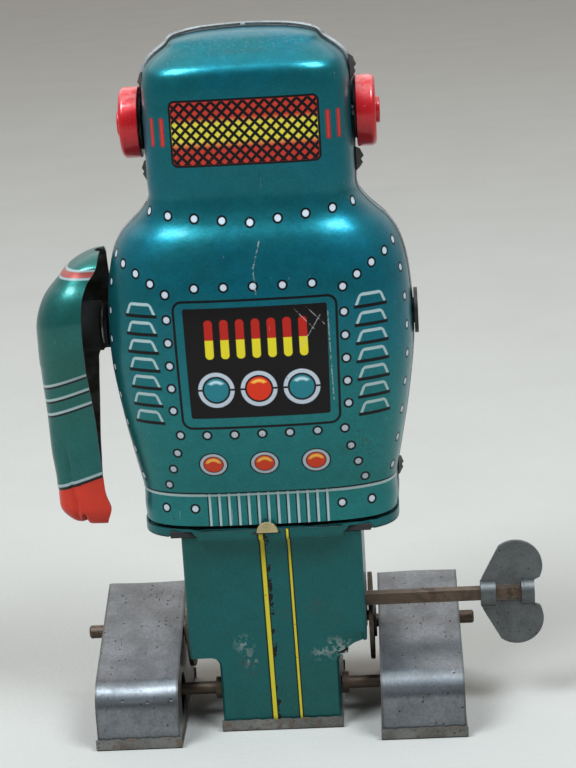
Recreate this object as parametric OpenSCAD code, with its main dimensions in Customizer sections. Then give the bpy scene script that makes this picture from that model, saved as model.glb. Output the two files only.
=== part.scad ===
// Tin wind-up walking robot. Millimetres, +Z up.
// The origin is the centre of the leg block's sole on the floor; the robot faces -Y
// and its own left side, with the key, is +X.

/* [Body shell] */
// Thickness of the folded sheet in the big shells
sheet = 0.8; // [0.6:0.05:0.9]
// How far the rear shell's rim stands outside the front shell at the sides
rim_proud = 0.35; // [0.2:0.05:0.4]
// How far the rear shell's rim stands above the front shell at the top of the head
rim_lift = 1.0; // [0.4:0.1:1.0]
// Depth of the rear shell compared with the front shell
rear_depth_ratio = 0.97; // [0.9:0.01:1.0]
// Height of the ears' centre
ear_z = 122.8; // [120:0.1:125]
// Radius of an ear
ear_r = 6.9; // [6:0.1:7.5]
// Height of the shoulder pivots
shoulder_z = 82.7; // [80:0.1:84]

/* [Arm] */
// Distance from the middle plane to the open side of the arm shell
arm_plane_x = 30.8; // [30.7:0.1:31.2]
// Radius of the arm's pivot
pivot_r = 1.25; // [1.0:0.05:1.5]
// Radial clearance of a running fit
fit_gap = 0.05; // [0.02:0.01:0.1]

/* [Leg block] */
// Half width of the upper part of the leg block
hip_half_w = 17.9; // [17:0.1:18]
// Half width of the lower part of the leg block
shin_half_w = 12; // [11.8:0.1:12.4]
// Height at which the leg block steps in
step_z = 15.9; // [15.4:0.1:16.5]
// Height of the leg block's top edge
block_top_z = 41.7; // [41:0.1:41.8]
// Front face of the leg block
block_front_y = -13.4; // [-14:0.1:-13.2]
// Rear face of the leg block
block_rear_y = 15.4; // [15:0.1:16]

/* [Feet] */
// Distance from the middle plane to a foot's inner wall
foot_inner_x = 20.2; // [20:0.1:20.5]
// Width of a foot cover
foot_w = 16.7; // [15:0.1:17]
// Front face of a foot cover
foot_front_y = -20.4; // [-21:0.1:-20]
// Rear face of a foot cover
foot_rear_y = 14.6; // [14:0.1:15]
// Radius of the rolled toe
toe_r = 4.8; // [4:0.1:5]
// Slope of the foot's top, in degrees
foot_slope = 17.5; // [15:0.5:18]

/* [Clockwork] */
// Tooth size: pitch diameter for each tooth
gear_module = 0.5; // [0.48:0.01:0.5]
// Teeth of the great wheel and of the second wheel
wheel_teeth = 26; // [26:2:26]
// Teeth of the second pinion and of the escape pinion
pinion_teeth = 8; // [8:1:8]
// Teeth of the crank pinion
crank_teeth = 10; // [10:1:10]
// Throw of the cranks that carry the feet
crank_throw = 3; // [2:0.1:3]
// Radius of the crank discs
crank_disc_r = 9; // [7:0.1:9]
// Half length of the key's two wings
key_half_h = 11; // [9:0.5:11]

/* [Hidden] */
$fn = 48;

// Colours
TEAL = [0.10, 0.42, 0.42];
RED = [0.72, 0.12, 0.12];
TIN = [0.62, 0.62, 0.62];
BRASS = [0.72, 0.58, 0.30];
RUSTY = [0.36, 0.28, 0.21];
BLACK = [0.06, 0.06, 0.06];
STEEL = [0.50, 0.51, 0.53];

// Body outline from the lower rim to the crown:
// height, half width, front depth, squareness of the corners
BODY_ROWS = [
    [44.4, 25.3, 14.8, 3.6],
    [47.0, 25.5, 14.8, 3.6],
    [50.8, 25.5, 15.0, 3.5],
    [57.0, 26.7, 17.4, 3.2],
    [66.0, 28.4, 19.6, 3.0],
    [78.0, 29.9, 20.2, 3.0],
    [90.0, 29.6, 19.8, 3.0],
    [97.0, 28.4, 18.8, 2.9],
    [101.5, 26.2, 17.6, 2.9],
    [105.2, 22.4, 15.8, 3.2],
    [108.5, 20.2, 14.8, 3.8],
    [113.0, 20.1, 14.6, 4.0],
    [127.0, 20.0, 14.5, 4.0],
    [131.5, 19.7, 14.3, 3.9],
    [133.6, 19.1, 13.8, 3.7],
    [135.2, 17.7, 12.4, 3.4],
    [137.1, 15.1, 10.2, 3.2],
    [138.3, 14.0, 8.5, 3.4],
    [139.0, 12.0, 6.9, 3.4],
    [139.6, 8.4, 4.6, 3.0],
    [139.9, 3.6, 2.2, 2.4],
    [140.0, 0.4, 0.4, 2.0]
];
CROWN_Z = 140;
DOME_Z = 128;

// Arm outline from the knuckles to the top of the shoulder cap: height, half depth,
// reach out from the arm's inner plane, squareness, forward shift, and how far
// the front and the rear edge of the open side stand back from that plane
ARM_ROWS = [
    [42.4, 1.8, 6.4, 2.2, 1.7, 2.8, 4.2],
    [43.0, 4.0, 9.6, 2.6, 1.7, 2.4, 4.1],
    [45.4, 5.1, 12.2, 2.8, 1.6, 2.3, 4.1],
    [48.4, 5.4, 12.6, 2.9, 1.3, 2.3, 4.0],
    [52.0, 5.8, 12.5, 3.0, 0.9, 2.4, 4.0],
    [58.0, 6.4, 13.1, 3.0, 0.3, 2.7, 4.0],
    [65.0, 7.1, 13.3, 3.0, -0.2, 3.0, 3.7],
    [72.0, 8.2, 13.6, 2.9, -0.1, 3.5, 3.4],
    [75.2, 9.1, 13.7, 2.8, 0, 3.7, 3.0],
    [76.4, 9.5, 13.8, 2.8, 0, 3.7, 0.4],
    [80.0, 10.7, 13.8, 2.7, 0, 3.6, 0],
    [85.0, 11.5, 13.6, 2.6, 0, 3.5, 0],
    [89.6, 11.3, 11.9, 2.6, 0, 3.2, 0],
    [92.8, 10.8, 9.2, 2.8, 0, 2.2, 0],
    [94.6, 9.9, 7.7, 2.9, 0, 0.9, 0],
    [95.9, 8.6, 6.2, 2.6, 0, 0.2, 0],
    [97.0, 6.8, 4.4, 2.3, 0, 0, 0],
    [97.8, 4.6, 2.5, 2.1, 0, 0, 0],
    [98.1, 2.0, 1.2, 2.0, 0, 0, 0]
];
ARM_TOP_Z = 98.1;

// Torso floor
floor_z = 41.9;
floor_t = 0.8;
rim_h = 1.8;
upstand_h = 3.4;
shell_gap = 0.1;
notch_x = 17.4;
notch_w = 5;

// Shoulders
bush_face_x = 31.1;
bush_flange_x = 30.4;
bush_inner_x = 28.7;
bush_r = 4.5;
bush_neck_r = 2.5;
washer_inner_x = 31.3;
washer_outer_x = 31.6;
hub_inner_x = 31.8;
hub_step_x = 36.5;
hub_neck_x = 42.4;
hub_outer_x = 43.75;
pivot_inner_x = 27.2;
pivot_end_x = 43.2;

// Ears
ear_base_x = 20.9;
ear_t = 3.8;
ear_boss_r = 2.6;
ear_boss_h = 0.8;
ear_spindle_r = 1.5;

// Motor frame: plates stand across X and everything turns about X
plate_x = 9.6;
plate_t = 0.8;
plate_y0 = -12.2;
plate_y1 = 14.2;
plate_z0 = 1.6;
plate_z1 = 38.9;
arbor_r = 1.3;
thin_arbor_r = 0.8;
anchor_arbor_r = 0.6;
axle_r = 1.1;
arbor_end_x = plate_x + plate_t + 0.4;
square_side = 2.3;
shaft_end_x = 50.4;
pillar_r = 1.5;
pillar_pin_r = 0.9;
PILLARS = [[-10.4, 4.4], [12.2, 4.4], [12.4, 33.6], [-10.2, 36.2]];

// Arbor positions across the frame, as [y, z]
key_at = [-5, 24.3];
crank_at = [3.5, 17.2];
wheel_r = gear_module * wheel_teeth / 2;
pinion_r = gear_module * pinion_teeth / 2;
crank_gear_r = gear_module * crank_teeth / 2;
// Meeting point of two circles about the key and crank arbors, on the upper side
function meet(p, q, rp, rq) =
    let (d = norm(q - p), u = (q - p) / d, a = (rp * rp - rq * rq + d * d) / (2 * d))
    p + a * u + sqrt(rp * rp - a * a) * [-u[1], u[0]];
second_at = meet(key_at, crank_at, wheel_r + pinion_r, wheel_r + crank_gear_r);
escape_turn = 105;
escape_at = second_at + (wheel_r + pinion_r) * [cos(escape_turn), sin(escape_turn)];
escape_r = 4.6;
anchor_turn = -10;
anchor_reach = 7.3;
anchor_at = escape_at + anchor_reach * [cos(anchor_turn), sin(anchor_turn)];
rod_at = [-6, 6.5];
rod_r = 1.3;
rod_end_x = 24.5;
post_at = key_at + 8.1 * [cos(250), sin(250)];
post_r = 0.8;

// Layers of the clockwork along X: start and thickness
great_layer = [-8.7, 1];
ratchet_layer = [-7.4, 0.8];
second_layer = [-6.1, 1];
spring_layer = [-4.2, 8];
escape_layer = [6, 0.8];
pinion_extra = 0.3;

// Cranks and feet
disc_x = 18.3;
disc_t = 0.9;
pin_r = 1.35;
collar_r = 3.3;
collar_t = 0.6;
pin_end_x = 39.8;
pin_at = crank_at - [crank_throw, 0];
foot_wall = 0.8;
foot_bottom_z = 1;
sole_t = 0.9;
sole_lip_h = 2.4;
sole_lip_t = 0.5;
sole_gap = 0.1;
rod_window_r = crank_throw + rod_r + 0.3;
foot_tip_y = foot_front_y + toe_r;
toe_centre_z = 8.6;

// Key wings
wing_x = 48.4;
wing_lobe_r = 5.4;
wing_neck_x = 52;
wing_lobe_z = key_half_h - wing_lobe_r;
wing_t = 1;
strap_x = 41.2;
strap_t = 2.4;
strap_half = 2;
wing_slot_end_x = 49.6;

// Powers that keep the sign of the base
function signed_pow(v, e) = sign(v) * pow(abs(v), e);
// Smooth curve through the rows of a table, one step of it
function blend_rows(a, b, c, d, t) =
    let (square_part = 2 * a - 5 * b + 4 * c - d, cube_part = 3 * b - a - 3 * c + d)
    0.5 * (2 * b + (c - a) * t + square_part * t * t + cube_part * t * t * t);
// All rows of a table with every gap between neighbours cut into steps
function fine_rows(rows, steps) =
    let (last = len(rows) - 1)
    [
        for (i = [0:last - 1], k = [0:steps - 1])
            blend_rows(rows[max(i - 1, 0)], rows[i], rows[i + 1], rows[min(i + 2, last)], k / steps),
        rows[last]
    ];
// How far the dome has closed at a height, from 0 to 1
function closing(z, start, top) = min(max((z - start) / (top - start), 0), 1);
// Point on one row of a half shell; turn runs 0 to 180 across the shell
function shell_point(row, turn, inset, start, top) =
    let (w = max(row[1] - inset, 0.1), d = max(row[2] - inset, 0.1))
    let (e = 2 / row[3], shift = row[4] == undef ? 0 : row[4])
    let (out = pow(sin(turn), e), edge = row[5] == undef ? 0 : row[turn <= 90 ? 5 : 6])
    [
        shift + w * signed_pow(cos(turn), e),
        -shell_gap - d * out - edge * (1 - out),
        row[0] - inset * closing(row[0], start, top)
    ];

// Sheet-metal half shell, open along the plane y = 0 and bulging towards -Y
module half_shell(rows, dome_start, dome_top, columns) {
    rings = fine_rows(rows, 2);
    loop = 2 * (columns + 1);
    turns = [for (k = [0:columns]) 180 * k / columns];
    points = [
        for (row = rings) each concat(
            [for (t = turns) shell_point(row, t, 0, dome_start, dome_top)],
            [for (k = [columns:-1:0]) shell_point(row, turns[k], sheet, dome_start, dome_top)]
        )
    ];
    last = (len(rings) - 1) * loop;
    sides = [
        for (r = [0:len(rings) - 2])
            for (k = [0:loop - 1])
                let (a = r * loop + k, b = r * loop + (k + 1) % loop)
                each [[a, b, b + loop], [a, b + loop, a + loop]]
    ];
    ends = [
        for (k = [0:columns - 1])
            let (a = k, b = k + 1, c = loop - 2 - k, d = loop - 1 - k)
            each [
                [d, c, b], [d, b, a],
                [last + a, last + b, last + c], [last + a, last + c, last + d]
            ]
    ];
    polyhedron(points = points, faces = concat(sides, ends), convexity = 6);
}

// Closed outline of the body at its lower rim
function rim_outline(grow) = [
    for (t = [0:7.5:359])
        [
            (BODY_ROWS[0][1] + grow) * signed_pow(cos(t), 2 / BODY_ROWS[0][3]),
            (BODY_ROWS[0][2] + grow) * signed_pow(sin(t), 2 / BODY_ROWS[0][3])
        ]
];
// Half width of the body at a height
function body_half_w(z) = lookup(z, [for (r = BODY_ROWS) [r[0], r[1]]]);

// Places a flat outline drawn as [y, z] so that it is extruded along +X from x0
module across(x0, thickness) {
    translate([x0, 0, 0])
        rotate([90, 0, 90])
            linear_extrude(thickness)
                children();
}

// Solid rod along X at a [y, z] position
module rod(at, r, x0, x1) {
    translate([x0, at[0], at[1]])
        rotate([0, 90, 0])
            cylinder(r = r, h = x1 - x0);
}

// Turned piece about X at a [y, z] position; the profile is [radius, x]
module turned(at, profile) {
    translate([0, at[0], at[1]])
        rotate([0, 90, 0])
            rotate_extrude()
                polygon(profile);
}

// Extrudes a flat outline drawn as [x, z] from y0 to y1
module along_y(y0, y1) {
    translate([0, y1, 0])
        rotate([90, 0, 0])
            linear_extrude(y1 - y0)
                children();
}

// ---- Body ----

module shoulder_and_ear_holes() {
    rod([0, shoulder_z], bush_neck_r + fit_gap, -40, 40);
    rod([0, ear_z], ear_spindle_r + fit_gap, -30, 30);
}

module front_shell() {
    color(TEAL)
        difference() {
            half_shell(BODY_ROWS, DOME_Z, CROWN_Z, 18);
            shoulder_and_ear_holes();
        }
}

module rear_shell() {
    rear_rows = [
        for (r = BODY_ROWS)
            [
                r[0] + rim_lift * closing(r[0], DOME_Z, CROWN_Z),
                r[1] + rim_proud,
                r[2] * rear_depth_ratio + rim_proud,
                r[3]
            ]
    ];
    color(TEAL)
        difference() {
            mirror([0, 1, 0])
                half_shell(rear_rows, DOME_Z, CROWN_Z + rim_lift, 18);
            shoulder_and_ear_holes();
        }
}

module torso_floor() {
    color(TEAL * 0.6) {
        difference() {
            union() {
                translate([0, 0, floor_z])
                    linear_extrude(rim_h)
                        polygon(rim_outline(0.3));
                translate([0, 0, floor_z])
                    linear_extrude(floor_t + upstand_h)
                        polygon(rim_outline(-sheet - 0.9));
            }
            translate([0, 0, floor_z + floor_t])
                linear_extrude(floor_t + upstand_h)
                    polygon(rim_outline(-2 * sheet - 0.9));
            for (side = [-1, 1])
                translate([side * notch_x - notch_w / 2, -20, floor_z - 1])
                    cube([notch_w, 20 + block_front_y - 0.2, floor_t + 2]);
        }
    }
}

// Folded tabs that pass through the rear shell's wall and hold the two shells together
module seam_tabs() {
    tab = [1.5, 2.6, 3];
    color(TIN * 0.5)
        for (z = [47, 60, 111.6, 131], side = [-1, 1])
            mirror([side > 0 ? 0 : 1, 0, 0])
                translate([body_half_w(z) - sheet, -tab[1] / 2, z - tab[2] / 2])
                    cube(tab);
}

module ear(side) {
    profile = [
        [0, -2.6], [ear_spindle_r, -2.6], [ear_spindle_r, ear_t - sheet], [ear_r - sheet, ear_t - sheet],
        [ear_r - sheet, 0], [ear_r, 0], [ear_r, ear_t - 1], [ear_r - 0.3, ear_t - 0.3], [ear_r - 1, ear_t],
        [ear_boss_r, ear_t], [ear_boss_r, ear_t + ear_boss_h - 0.2], [ear_boss_r - 0.4, ear_t + ear_boss_h],
        [0, ear_t + ear_boss_h]
    ];
    color(RED)
        mirror([side > 0 ? 0 : 1, 0, 0])
            translate([ear_base_x, 0, 0])
                turned([0, ear_z], profile);
}

module ear_left() {
    ear(1);
}

module ear_right() {
    ear(-1);
}

module ear_washers() {
    color(BLACK)
        for (side = [-1, 1])
            mirror([side > 0 ? 0 : 1, 0, 0])
                difference() {
                    rod([0, ear_z], ear_r - 1.6, ear_base_x - 0.38, ear_base_x - 0.08);
                    rod([0, ear_z], ear_spindle_r + fit_gap, ear_base_x - 2, ear_base_x + 1);
                }
}

// ---- Shoulders and arm ----

module shoulder_bush(side) {
    r = pivot_r + fit_gap;
    color(BLACK)
        mirror([side > 0 ? 0 : 1, 0, 0])
            turned([0, shoulder_z], [
                [r, bush_inner_x], [bush_neck_r, bush_inner_x], [bush_neck_r, bush_flange_x],
                [bush_r, bush_flange_x], [bush_r, bush_face_x], [r, bush_face_x]
            ]);
}

module shoulder_bush_left() {
    shoulder_bush(1);
}

module shoulder_bush_right() {
    shoulder_bush(-1);
}

module shoulder_washer() {
    color(STEEL)
        difference() {
            rod([0, shoulder_z], bush_r - 1, -washer_outer_x, -washer_inner_x);
            rod([0, shoulder_z], pivot_r + fit_gap, -washer_outer_x - 1, -washer_inner_x + 1);
        }
}

module arm_shell() {
    color(TEAL)
        translate([-arm_plane_x, 0, 0])
            rotate([0, 0, -90])
                half_shell(ARM_ROWS, ARM_TOP_Z - 8, ARM_TOP_Z, 14);
}

module arm_hub() {
    color(BLACK)
        turned([0, shoulder_z], [
            [pivot_r, -hub_outer_x], [2, -hub_outer_x], [2, -hub_neck_x], [3.4, -hub_neck_x],
            [3.4, -hub_step_x], [5, -hub_step_x], [5, -hub_inner_x], [pivot_r, -hub_inner_x]
        ]);
}

module arm_pivot() {
    color(RUSTY)
        turned([0, shoulder_z], [
            [0, -pivot_end_x], [pivot_r, -pivot_end_x], [pivot_r, -pivot_inner_x - 0.8],
            [2.2, -pivot_inner_x - 0.8], [2.2, -pivot_inner_x], [0, -pivot_inner_x]
        ]);
}

// ---- Leg block ----

// Outline of the leg block, pulled in by inset and open past its top and bottom by reach
module block_outline(inset, reach) {
    hip = hip_half_w - inset;
    shin = shin_half_w - inset;
    fillet = 2;
    bend_at = [shin + fillet, step_z + inset - fillet];
    bend = [for (a = [0:22.5:90]) bend_at + fillet * [-sin(a), cos(a)]];
    half = concat([[hip, block_top_z + reach], [hip, step_z + inset]], bend, [[shin, 1 - reach]]);
    polygon(concat(half, [for (i = [len(half) - 1:-1:0]) [-half[i][0], half[i][1]]]));
}

module block_holes() {
    rod(crank_at, axle_r + 0.5, -30, 30);
    rod(rod_at, rod_r + 0.1, -30, 30);
    rod(key_at, 2, 12, 30);
}

module leg_front_panel() {
    lip_half = 14.4;
    color(TEAL)
        difference() {
            union() {
                along_y(block_front_y, 0.9)
                    block_outline(0, 0);
                translate([-lip_half, block_front_y - 2.4, block_top_z - 0.8])
                    cube([2 * lip_half, 3, 0.7]);
                translate([-lip_half, block_front_y - 2.4, block_top_z - 0.8])
                    cube([2 * lip_half, 0.6, 2.7]);
            }
            along_y(block_front_y + sheet, 5)
                block_outline(sheet, 2);
            block_holes();
        }
}

module leg_rear_panel() {
    color(TEAL)
        difference() {
            along_y(1.1, block_rear_y)
                block_outline(0, 0);
            along_y(-5, block_rear_y - sheet)
                block_outline(sheet, 2);
            block_holes();
        }
}

module leg_sole() {
    half = shin_half_w + 0.3;
    y0 = block_front_y - sole_gap - sole_lip_t;
    y1 = block_rear_y + sole_gap + sole_lip_t;
    color(TIN) {
        translate([-half, y0, 0])
            cube([2 * half, y1 - y0, sole_t]);
        for (y = [y0, y1 - sole_lip_t])
            translate([-half, y, 0])
                cube([2 * half, sole_lip_t, sole_lip_h]);
    }
}

// Half-round tab that is folded up over the lip of the front panel
module frame_tab() {
    tab_r = 2.1;
    tab_z = block_top_z + 1.4;
    y = block_front_y - 2.5;
    color(BRASS)
        along_y(y - 0.5, y)
            translate([-0.5, tab_z])
                intersection() {
                    circle(tab_r);
                    translate([-tab_r, 0])
                        square([2 * tab_r, tab_r]);
                }
}

// ---- Clockwork ----

// Spur wheel outline with narrow teeth, one of them at angle phase
module gear(teeth, phase) {
    pitch = gear_module * teeth / 2;
    root = pitch - 1.2 * gear_module;
    tip = pitch + 0.8 * gear_module;
    step = 360 / teeth;
    polygon([
        for (i = [0:teeth - 1])
            for (c = [[root, -0.23], [tip, -0.09], [tip, 0.09], [root, 0.23]])
                c[0] * [cos(phase + (i + c[1]) * step), sin(phase + (i + c[1]) * step)]
    ]);
}

// Direction from one arbor to another
function heading(from, to) = atan2(to[1] - from[1], to[0] - from[0]);
// Phase of a driven gear that puts a gap where the driver has a tooth
function mesh_phase(phase, teeth, turn, driven) =
    turn + 180 - (phase - turn) * teeth / driven + 180 / driven;

great_phase = heading(key_at, second_at);
second_pinion_phase = mesh_phase(great_phase, wheel_teeth, great_phase, pinion_teeth);
second_phase = heading(second_at, crank_at);
crank_phase = mesh_phase(second_phase, wheel_teeth, second_phase, crank_teeth);
escape_phase = mesh_phase(second_phase, wheel_teeth, heading(second_at, escape_at), pinion_teeth);

// Layer of a pinion, a little wider than the wheel that it meshes with
function wider(layer) = layer + [-pinion_extra, 2 * pinion_extra];

module wheel(at, layer, teeth, phase, bore) {
    across(layer[0], layer[1])
        translate(at)
            difference() {
                gear(teeth, phase);
                circle(bore);
            }
}

module motor_plate(x0) {
    across(x0, plate_t)
        difference() {
            polygon([
                [plate_y0, plate_z0], [plate_y1, plate_z0], [plate_y1, plate_z1 - 2],
                [plate_y1 - 2, plate_z1], [plate_y0 + 2, plate_z1], [plate_y0, plate_z1 - 2]
            ]);
            for (p = PILLARS)
                translate(p)
                    circle(pillar_pin_r);
            translate(key_at)
                circle(arbor_r + fit_gap);
            translate(second_at)
                circle(thin_arbor_r + fit_gap);
            translate(escape_at)
                circle(thin_arbor_r + fit_gap);
            translate(anchor_at)
                circle(anchor_arbor_r + fit_gap);
            translate(crank_at)
                circle(axle_r + fit_gap);
            translate(rod_at)
                circle(rod_r + fit_gap);
            translate(post_at)
                circle(post_r);
        }
}

module motor_plate_left() {
    color(STEEL)
        motor_plate(plate_x);
}

module motor_plate_right() {
    color(STEEL)
        motor_plate(-plate_x - plate_t);
}

module frame_pillars() {
    color(STEEL)
        for (p = PILLARS)
            turned(p, [
                [0, -arbor_end_x], [pillar_pin_r, -arbor_end_x], [pillar_pin_r, -plate_x],
                [pillar_r, -plate_x], [pillar_r, plate_x], [pillar_pin_r, plate_x],
                [pillar_pin_r, arbor_end_x], [0, arbor_end_x]
            ]);
}

module guide_rod() {
    color(RUSTY)
        rod(rod_at, rod_r, -rod_end_x, rod_end_x);
}

module rod_collars() {
    color(RUSTY)
        for (side = [-1, 1])
            mirror([side > 0 ? 0 : 1, 0, 0])
                difference() {
                    rod(rod_at, 2.2, shin_half_w + 0.3, shin_half_w + 1.6);
                    rod(rod_at, rod_r + fit_gap, shin_half_w, shin_half_w + 2);
                }
}

module mainspring() {
    turns = 5.5;
    start_r = 1.8;
    end_r = 6.9;
    strip = 0.3;
    steps = [0:15:turns * 360];
    function coil(a, r) = (start_r + (end_r - start_r) * a / (turns * 360) + r) * [cos(a), sin(a)];
    outer = [for (a = steps) coil(a, strip / 2)];
    inner = [for (a = steps) coil(a, -strip / 2)];
    color(STEEL)
        across(spring_layer[0], spring_layer[1])
            translate(key_at)
                polygon(concat(outer, [for (i = [len(inner) - 1:-1:0]) inner[i]]));
}

module spring_post() {
    color(STEEL)
        rod(post_at, post_r, -arbor_end_x, arbor_end_x);
}

module winding_shaft() {
    color(RUSTY) {
        rod(key_at, arbor_r, -arbor_end_x, arbor_end_x + 0.2);
        translate([arbor_end_x, key_at[0] - square_side / 2, key_at[1] - square_side / 2])
            cube([shaft_end_x - arbor_end_x, square_side, square_side]);
    }
}

// Butterfly wings with a window over the shaft's end, and the strap that grips the shaft
module key_wing() {
    color(TIN)
        difference() {
            union() {
                along_y(key_at[0] - wing_t / 2, key_at[0] + wing_t / 2)
                    translate([wing_x, key_at[1]]) {
                        for (side = [-1, 1])
                            hull() {
                                translate([0, side * wing_lobe_z])
                                    circle(wing_lobe_r, $fn = 32);
                                translate([strap_x - wing_x + 1, side * 2])
                                    circle(1, $fn = 32);
                            }
                        translate([strap_x - wing_x, -wing_lobe_z])
                            square([wing_neck_x - strap_x, 2 * wing_lobe_z]);
                    }
                translate([strap_x, key_at[0] - strap_half, key_at[1] - strap_half])
                    cube([strap_t, 2 * strap_half, 2 * strap_half]);
            }
            translate([strap_x - 1, key_at[0] - square_side / 2, key_at[1] - square_side / 2])
                cube([wing_slot_end_x - strap_x + 1, square_side, square_side]);
            translate([strap_x + strap_t, key_at[0] - 5, key_at[1] - square_side / 2])
                cube([wing_slot_end_x + 1 - strap_x - strap_t, 10, square_side]);
        }
}

module ratchet_wheel() {
    teeth = 12;
    tip = 3.5;
    root = 2.7;
    color(STEEL)
        across(ratchet_layer[0], ratchet_layer[1])
            translate(key_at)
                difference() {
                    polygon([
                        for (i = [0:teeth - 1])
                            for (c = [[root, 0.04], [tip, 0]])
                                c[0] * [cos((i + c[1]) * 360 / teeth), sin((i + c[1]) * 360 / teeth)]
                    ]);
                    circle(arbor_r);
                }
}

module great_wheel() {
    color(BRASS)
        wheel(key_at, great_layer, wheel_teeth, great_phase, arbor_r + fit_gap);
}

// Click that drags the great wheel round by the ratchet; it is pivoted on the wheel
click_at = key_at + 5 * [cos(200), sin(200)];
click_r = 0.55;

module click() {
    color(STEEL)
        across(ratchet_layer[0], ratchet_layer[1])
            difference() {
                hull() {
                    translate(click_at)
                        circle(1, $fn = 32);
                    translate(key_at + 4.2 * [cos(245), sin(245)])
                        circle(0.35, $fn = 32);
                }
                translate(click_at)
                    circle(click_r + fit_gap);
            }
}

module click_rivet() {
    color(BRASS)
        rod(click_at, click_r, great_layer[0] + great_layer[1], ratchet_layer[0] + ratchet_layer[1] + 0.2);
}

module click_spring() {
    color(STEEL)
        across(ratchet_layer[0], ratchet_layer[1])
            translate(key_at)
                rotate(208)
                    translate([6.15, 0])
                        square([0.2, 4.4], center = true);
}

module second_arbor() {
    color(STEEL)
        rod(second_at, thin_arbor_r, -arbor_end_x, arbor_end_x);
}

module second_pinion() {
    color(STEEL)
        wheel(second_at, wider(great_layer), pinion_teeth, second_pinion_phase, thin_arbor_r);
}

module second_wheel() {
    color(BRASS)
        wheel(second_at, second_layer, wheel_teeth, second_phase, thin_arbor_r);
}

module escape_arbor() {
    color(STEEL)
        rod(escape_at, thin_arbor_r, -arbor_end_x, arbor_end_x);
}

module escape_pinion() {
    color(STEEL)
        wheel(escape_at, wider(second_layer), pinion_teeth, escape_phase, thin_arbor_r);
}

module escape_wheel() {
    teeth = 12;
    root = 3.6;
    color(BRASS)
        across(escape_layer[0], escape_layer[1])
            translate(escape_at)
                difference() {
                    polygon([
                        for (i = [0:teeth - 1])
                            for (c = [[root, 0.1], [escape_r, 0]])
                                c[0] * [cos((i + c[1]) * 360 / teeth), sin((i + c[1]) * 360 / teeth)]
                    ]);
                    circle(thin_arbor_r);
                }
}

// Rocking anchor that lets the escape wheel past one tooth at a time
module anchor() {
    pallet_turn = 55;
    pallet_r = 5.9;
    pallet_size = 0.5;
    color(STEEL)
        across(escape_layer[0], escape_layer[1])
            difference() {
                for (side = [-1, 1])
                    hull() {
                        translate(anchor_at)
                            circle(1.2, $fn = 32);
                        translate(escape_at)
                            rotate(anchor_turn + side * pallet_turn)
                                translate([pallet_r, 0])
                                    circle(pallet_size, $fn = 32);
                    }
                translate(anchor_at)
                    circle(anchor_arbor_r);
            }
}

module anchor_arbor() {
    color(STEEL)
        rod(anchor_at, anchor_arbor_r, -arbor_end_x, arbor_end_x);
}

// ---- Cranks ----

module crank_axle() {
    color(RUSTY)
        rod(crank_at, axle_r, -disc_x - disc_t, disc_x + disc_t);
}

module crank_pinion() {
    color(STEEL)
        wheel(crank_at, wider(second_layer), crank_teeth, crank_phase, axle_r);
}

module crank_disc(side) {
    color(RUSTY)
        mirror([side > 0 ? 0 : 1, 0, 0])
            difference() {
                rod(crank_at, crank_disc_r, disc_x, disc_x + disc_t);
                rod(crank_at, axle_r, disc_x - 1, disc_x + disc_t + 1);
                rod(pin_at, pin_r, disc_x - 1, disc_x + disc_t + 1);
            }
}

module crank_disc_left() {
    crank_disc(1);
}

module crank_disc_right() {
    crank_disc(-1);
}

module crank_pin(side) {
    color(RUSTY)
        mirror([side > 0 ? 0 : 1, 0, 0])
            turned(pin_at, [
                [0, disc_x], [pin_r, disc_x], [pin_r, pin_end_x - 0.3],
                [pin_r - 0.3, pin_end_x], [0, pin_end_x]
            ]);
}

module crank_pin_left() {
    crank_pin(1);
}

module crank_pin_right() {
    crank_pin(-1);
}

module crank_collars() {
    color(BLACK)
        for (side = [-1, 1])
            mirror([side > 0 ? 0 : 1, 0, 0])
                difference() {
                    rod(pin_at, collar_r, disc_x + disc_t, disc_x + disc_t + collar_t);
                    rod(pin_at, pin_r, disc_x, disc_x + disc_t + collar_t + 1);
                }
}

// ---- Feet ----

// Side outline of a foot cover as [y, z], pulled in by inset, open below by reach
module foot_outline(inset, reach) {
    r = toe_r - inset;
    roll = [for (a = [0:15:90 - foot_slope]) [foot_tip_y - r * cos(a), toe_centre_z + r * sin(a)]];
    brow = [foot_tip_y - r * sin(foot_slope), toe_centre_z + r * cos(foot_slope)];
    back_y = foot_rear_y - inset;
    back_z = brow[1] + (back_y - brow[0]) * tan(foot_slope);
    polygon(concat(
        [[foot_tip_y - r, foot_bottom_z - reach]], roll,
        [
            brow, [back_y - 1, back_z - tan(foot_slope)], [back_y, back_z - 1],
            [back_y, foot_bottom_z - reach]
        ]
    ));
}

module foot_cover(side) {
    color(TIN)
        mirror([side > 0 ? 0 : 1, 0, 0])
            difference() {
                across(foot_inner_x, foot_w)
                    foot_outline(0, 0);
                across(foot_inner_x + foot_wall, foot_w - 2 * foot_wall)
                    foot_outline(foot_wall, 2);
                rod(pin_at, pin_r + fit_gap, foot_inner_x - 1, foot_inner_x + foot_w + 1);
                translate([0, -crank_throw, 0])
                    rod(rod_at, rod_window_r, foot_inner_x - 1, foot_inner_x + foot_wall + 1);
            }
}

module foot_cover_left() {
    foot_cover(1);
}

module foot_cover_right() {
    foot_cover(-1);
}

module foot_sole(side) {
    x0 = foot_inner_x - 0.3;
    w = foot_w + 0.6;
    y0 = foot_front_y - sole_gap - sole_lip_t;
    y1 = foot_rear_y + sole_gap + sole_lip_t;
    color(TIN)
        mirror([side > 0 ? 0 : 1, 0, 0]) {
            translate([x0, y0, 0])
                cube([w, y1 - y0, sole_t]);
            for (y = [y0, y1 - sole_lip_t])
                translate([x0, y, 0])
                    cube([w, sole_lip_t, sole_lip_h]);
        }
}

module foot_sole_left() {
    foot_sole(1);
}

module foot_sole_right() {
    foot_sole(-1);
}

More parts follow.
